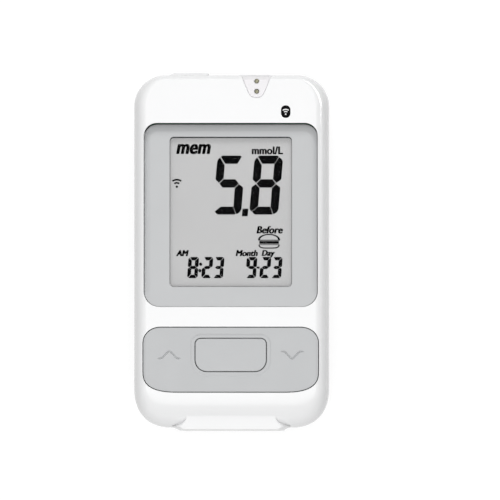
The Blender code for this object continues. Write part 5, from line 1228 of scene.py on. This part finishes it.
def display_marks():
    """The radio sign and, above the date, the meal sign; lengths in millimetres."""
    made = bmesh.new()
    for outline in waves((-14.8, 18.75), 2.15):
        add_ink(made, outline)
    middle, half = 10.45, 2.75
    crown = arc_band((0.0, 0.0), 1.0, 0.2, 0.0, 180.0, 28)
    add_ink(made, [(middle + x * half, 3.3 + y * 1.5) for x, y in crown])
    for share, low, high in ((1.07, 3.12, 3.34), (0.97, 2.24, 3.0), (1.02, 1.92, 2.08)):
        add_ink(made, box_outline(middle - half * share, middle + half * share, low, high))
    foot = []
    for x, y in arc_band((0.0, 0.0), 1.0, 0.3, 180.0, 360.0, 28):
        foot.append((middle + math.copysign(abs(x) ** 0.4, x) * half, 2.0 + y * 0.92))
    add_ink(made, foot)
    mark_on_case("lcd_signs", lifted(made), INK)


def badge():
    """The black oval on the face with its white arcs."""
    low = FACE_Z - BADGE_DEPTH
    made = bmesh.new()
    add_prism(made, badge_outline(0.0), low, FACE_Z - BADGE_SINK)
    mark_on_case("face_badge", made, PRINT_BLACK)
    made = bmesh.new()
    for outline in waves((BADGE_PLACE[0], BADGE_PLACE[1] - BADGE_SIGN_LOWER), BADGE_SIGN_SIZE):
        add_prism(made, outline, low, FACE_Z - BADGE_SIGN_SINK)
    mark_on_case("face_badge_sign", made, PRINT_WHITE)


front_shell()
rear_shell()
battery_door()
port_cover()
strip_port()
display_bezel()
rocker_key()
main_button()
for name in REFINED:
    refined(name)
display_glass()
display_digits()
display_marks()
window_print_and_painted_shadow()
for word in WORDS:
    letters(*word)
badge()


# Floor, lights, camera

WORLD_LIGHT, FLOOR_SHADE, FLOOR_GLOW = 0.57, 0.30, 0.76
FLOOR_SIZE, FLOOR_DROP = 1.5, 0.05 * MM
# The width that the picture shows at the meter, and the lean to the side in degrees
CAMERA_DISTANCE, CAMERA_FIELD, CAMERA_LEAN = 3.0, 136.85 * MM, 1.8
CAMERA_AIM, CAMERA_SENSOR, CAMERA_CLIP = mm(5.11, 0.55, 16.0), 36.0, (0.05, 20.0)
PURE_WHITE = (1.0, 1.0, 1.0)


def seen_share(tree):
    """A socket that is 1 where a ray comes from the camera, a gloss or something clear."""
    rays = node(tree, "ShaderNodeLightPath").outputs
    seen = maths(tree, "MAXIMUM", rays["Is Camera Ray"], rays["Is Glossy Ray"])
    return maths(tree, "MAXIMUM", seen, rays["Is Transmission Ray"])


def plain_world():
    """A white world, which gives less light than it shows."""
    world = bpy.data.worlds.new("studio")
    bpy.context.scene.world = world
    world.use_nodes = True
    tree = world.node_tree
    tree.nodes.clear()
    strength = ranged(tree, seen_share(tree), WORLD_LIGHT, 1.0)
    back = node(tree, "ShaderNodeBackground", {"Color": PURE_WHITE, "Strength": strength})
    node(tree, "ShaderNodeOutputWorld", {"Surface": back.outputs["Background"]})


def pale_floor():
    """A floor that shows as white, throws little light back and can't be seen from below."""
    made = bmesh.new()
    outline = box_outline(-FLOOR_SIZE, FLOOR_SIZE, -FLOOR_SIZE, FLOOR_SIZE)
    made.faces.new([made.verts.new((x, y, -FLOOR_DROP)) for x, y in outline])
    material, tree, shader = new_material("floor_paper")
    fill(shader, {
        "Base Color": (FLOOR_SHADE,) * 3, "Roughness": 1.0, "Specular IOR Level": 0.0,
        "Emission Color": PURE_WHITE,
        "Emission Strength": maths(tree, "MULTIPLY", seen_share(tree), FLOOR_GLOW),
    })
    choice = node(tree, "ShaderNodeMixShader", {
        0: node(tree, "ShaderNodeNewGeometry").outputs["Backfacing"], 1: shader.outputs["BSDF"],
        2: node(tree, "ShaderNodeBsdfTransparent").outputs["BSDF"],
    })
    fill(tree.nodes["Material Output"], {"Surface": choice.outputs["Shader"]})
    object_from("floor", made, material)


def area_light(name, azimuth, elevation, distance, size, watts, lights=True, glints=True):
    """A lamp aimed at the meter from a direction: azimuth 0 is +X and 90 is +Y, in degrees."""
    data = bpy.data.lights.new(name, "AREA")
    data.shape = "RECTANGLE"
    data.size, data.size_y = size
    data.energy = watts
    lamp = placed(name, data)
    turn, rise = math.radians(azimuth), math.radians(elevation)
    level = math.cos(rise)
    way = Vector((math.cos(turn) * level, math.sin(turn) * level, math.sin(rise)))
    lamp.location = way * distance
    lamp.rotation_mode = "QUATERNION"
    lamp.rotation_quaternion = (-way).to_track_quat("-Z", "Y")
    lamp.visible_diffuse, lamp.visible_glossy = lights, glints


def photo_camera():
    """The camera above the face, leaning to the side as in the photograph."""
    data = bpy.data.cameras.new("photo_camera")
    data.sensor_width = CAMERA_SENSOR
    data.lens = data.sensor_width * CAMERA_DISTANCE / CAMERA_FIELD
    data.clip_start, data.clip_end = CAMERA_CLIP
    camera = placed("photo_camera", data)
    lean = math.radians(CAMERA_LEAN)
    back = Vector((math.sin(lean), 0.0, math.cos(lean)))
    camera.location = Vector(CAMERA_AIM) + back * CAMERA_DISTANCE
    camera.rotation_euler = (0.0, lean, 0.0)
    bpy.context.scene.camera = camera


plain_world()
pale_floor()
area_light("overhead", -90.0, 78.0, 0.9, (0.6, 0.6), 2.27)
area_light("key", 88.0, 26.0, 0.8, (0.5, 0.18), 2.63, glints=False)
area_light("fill", 262.0, 30.0, 0.9, (1.2, 0.7), 1.68)
area_light("edge_strip", 38.0, 4.6, 0.5, (0.62, 0.07), 4.5, lights=False)
photo_camera()
bpy.context.scene.view_settings.view_transform = "Standard"
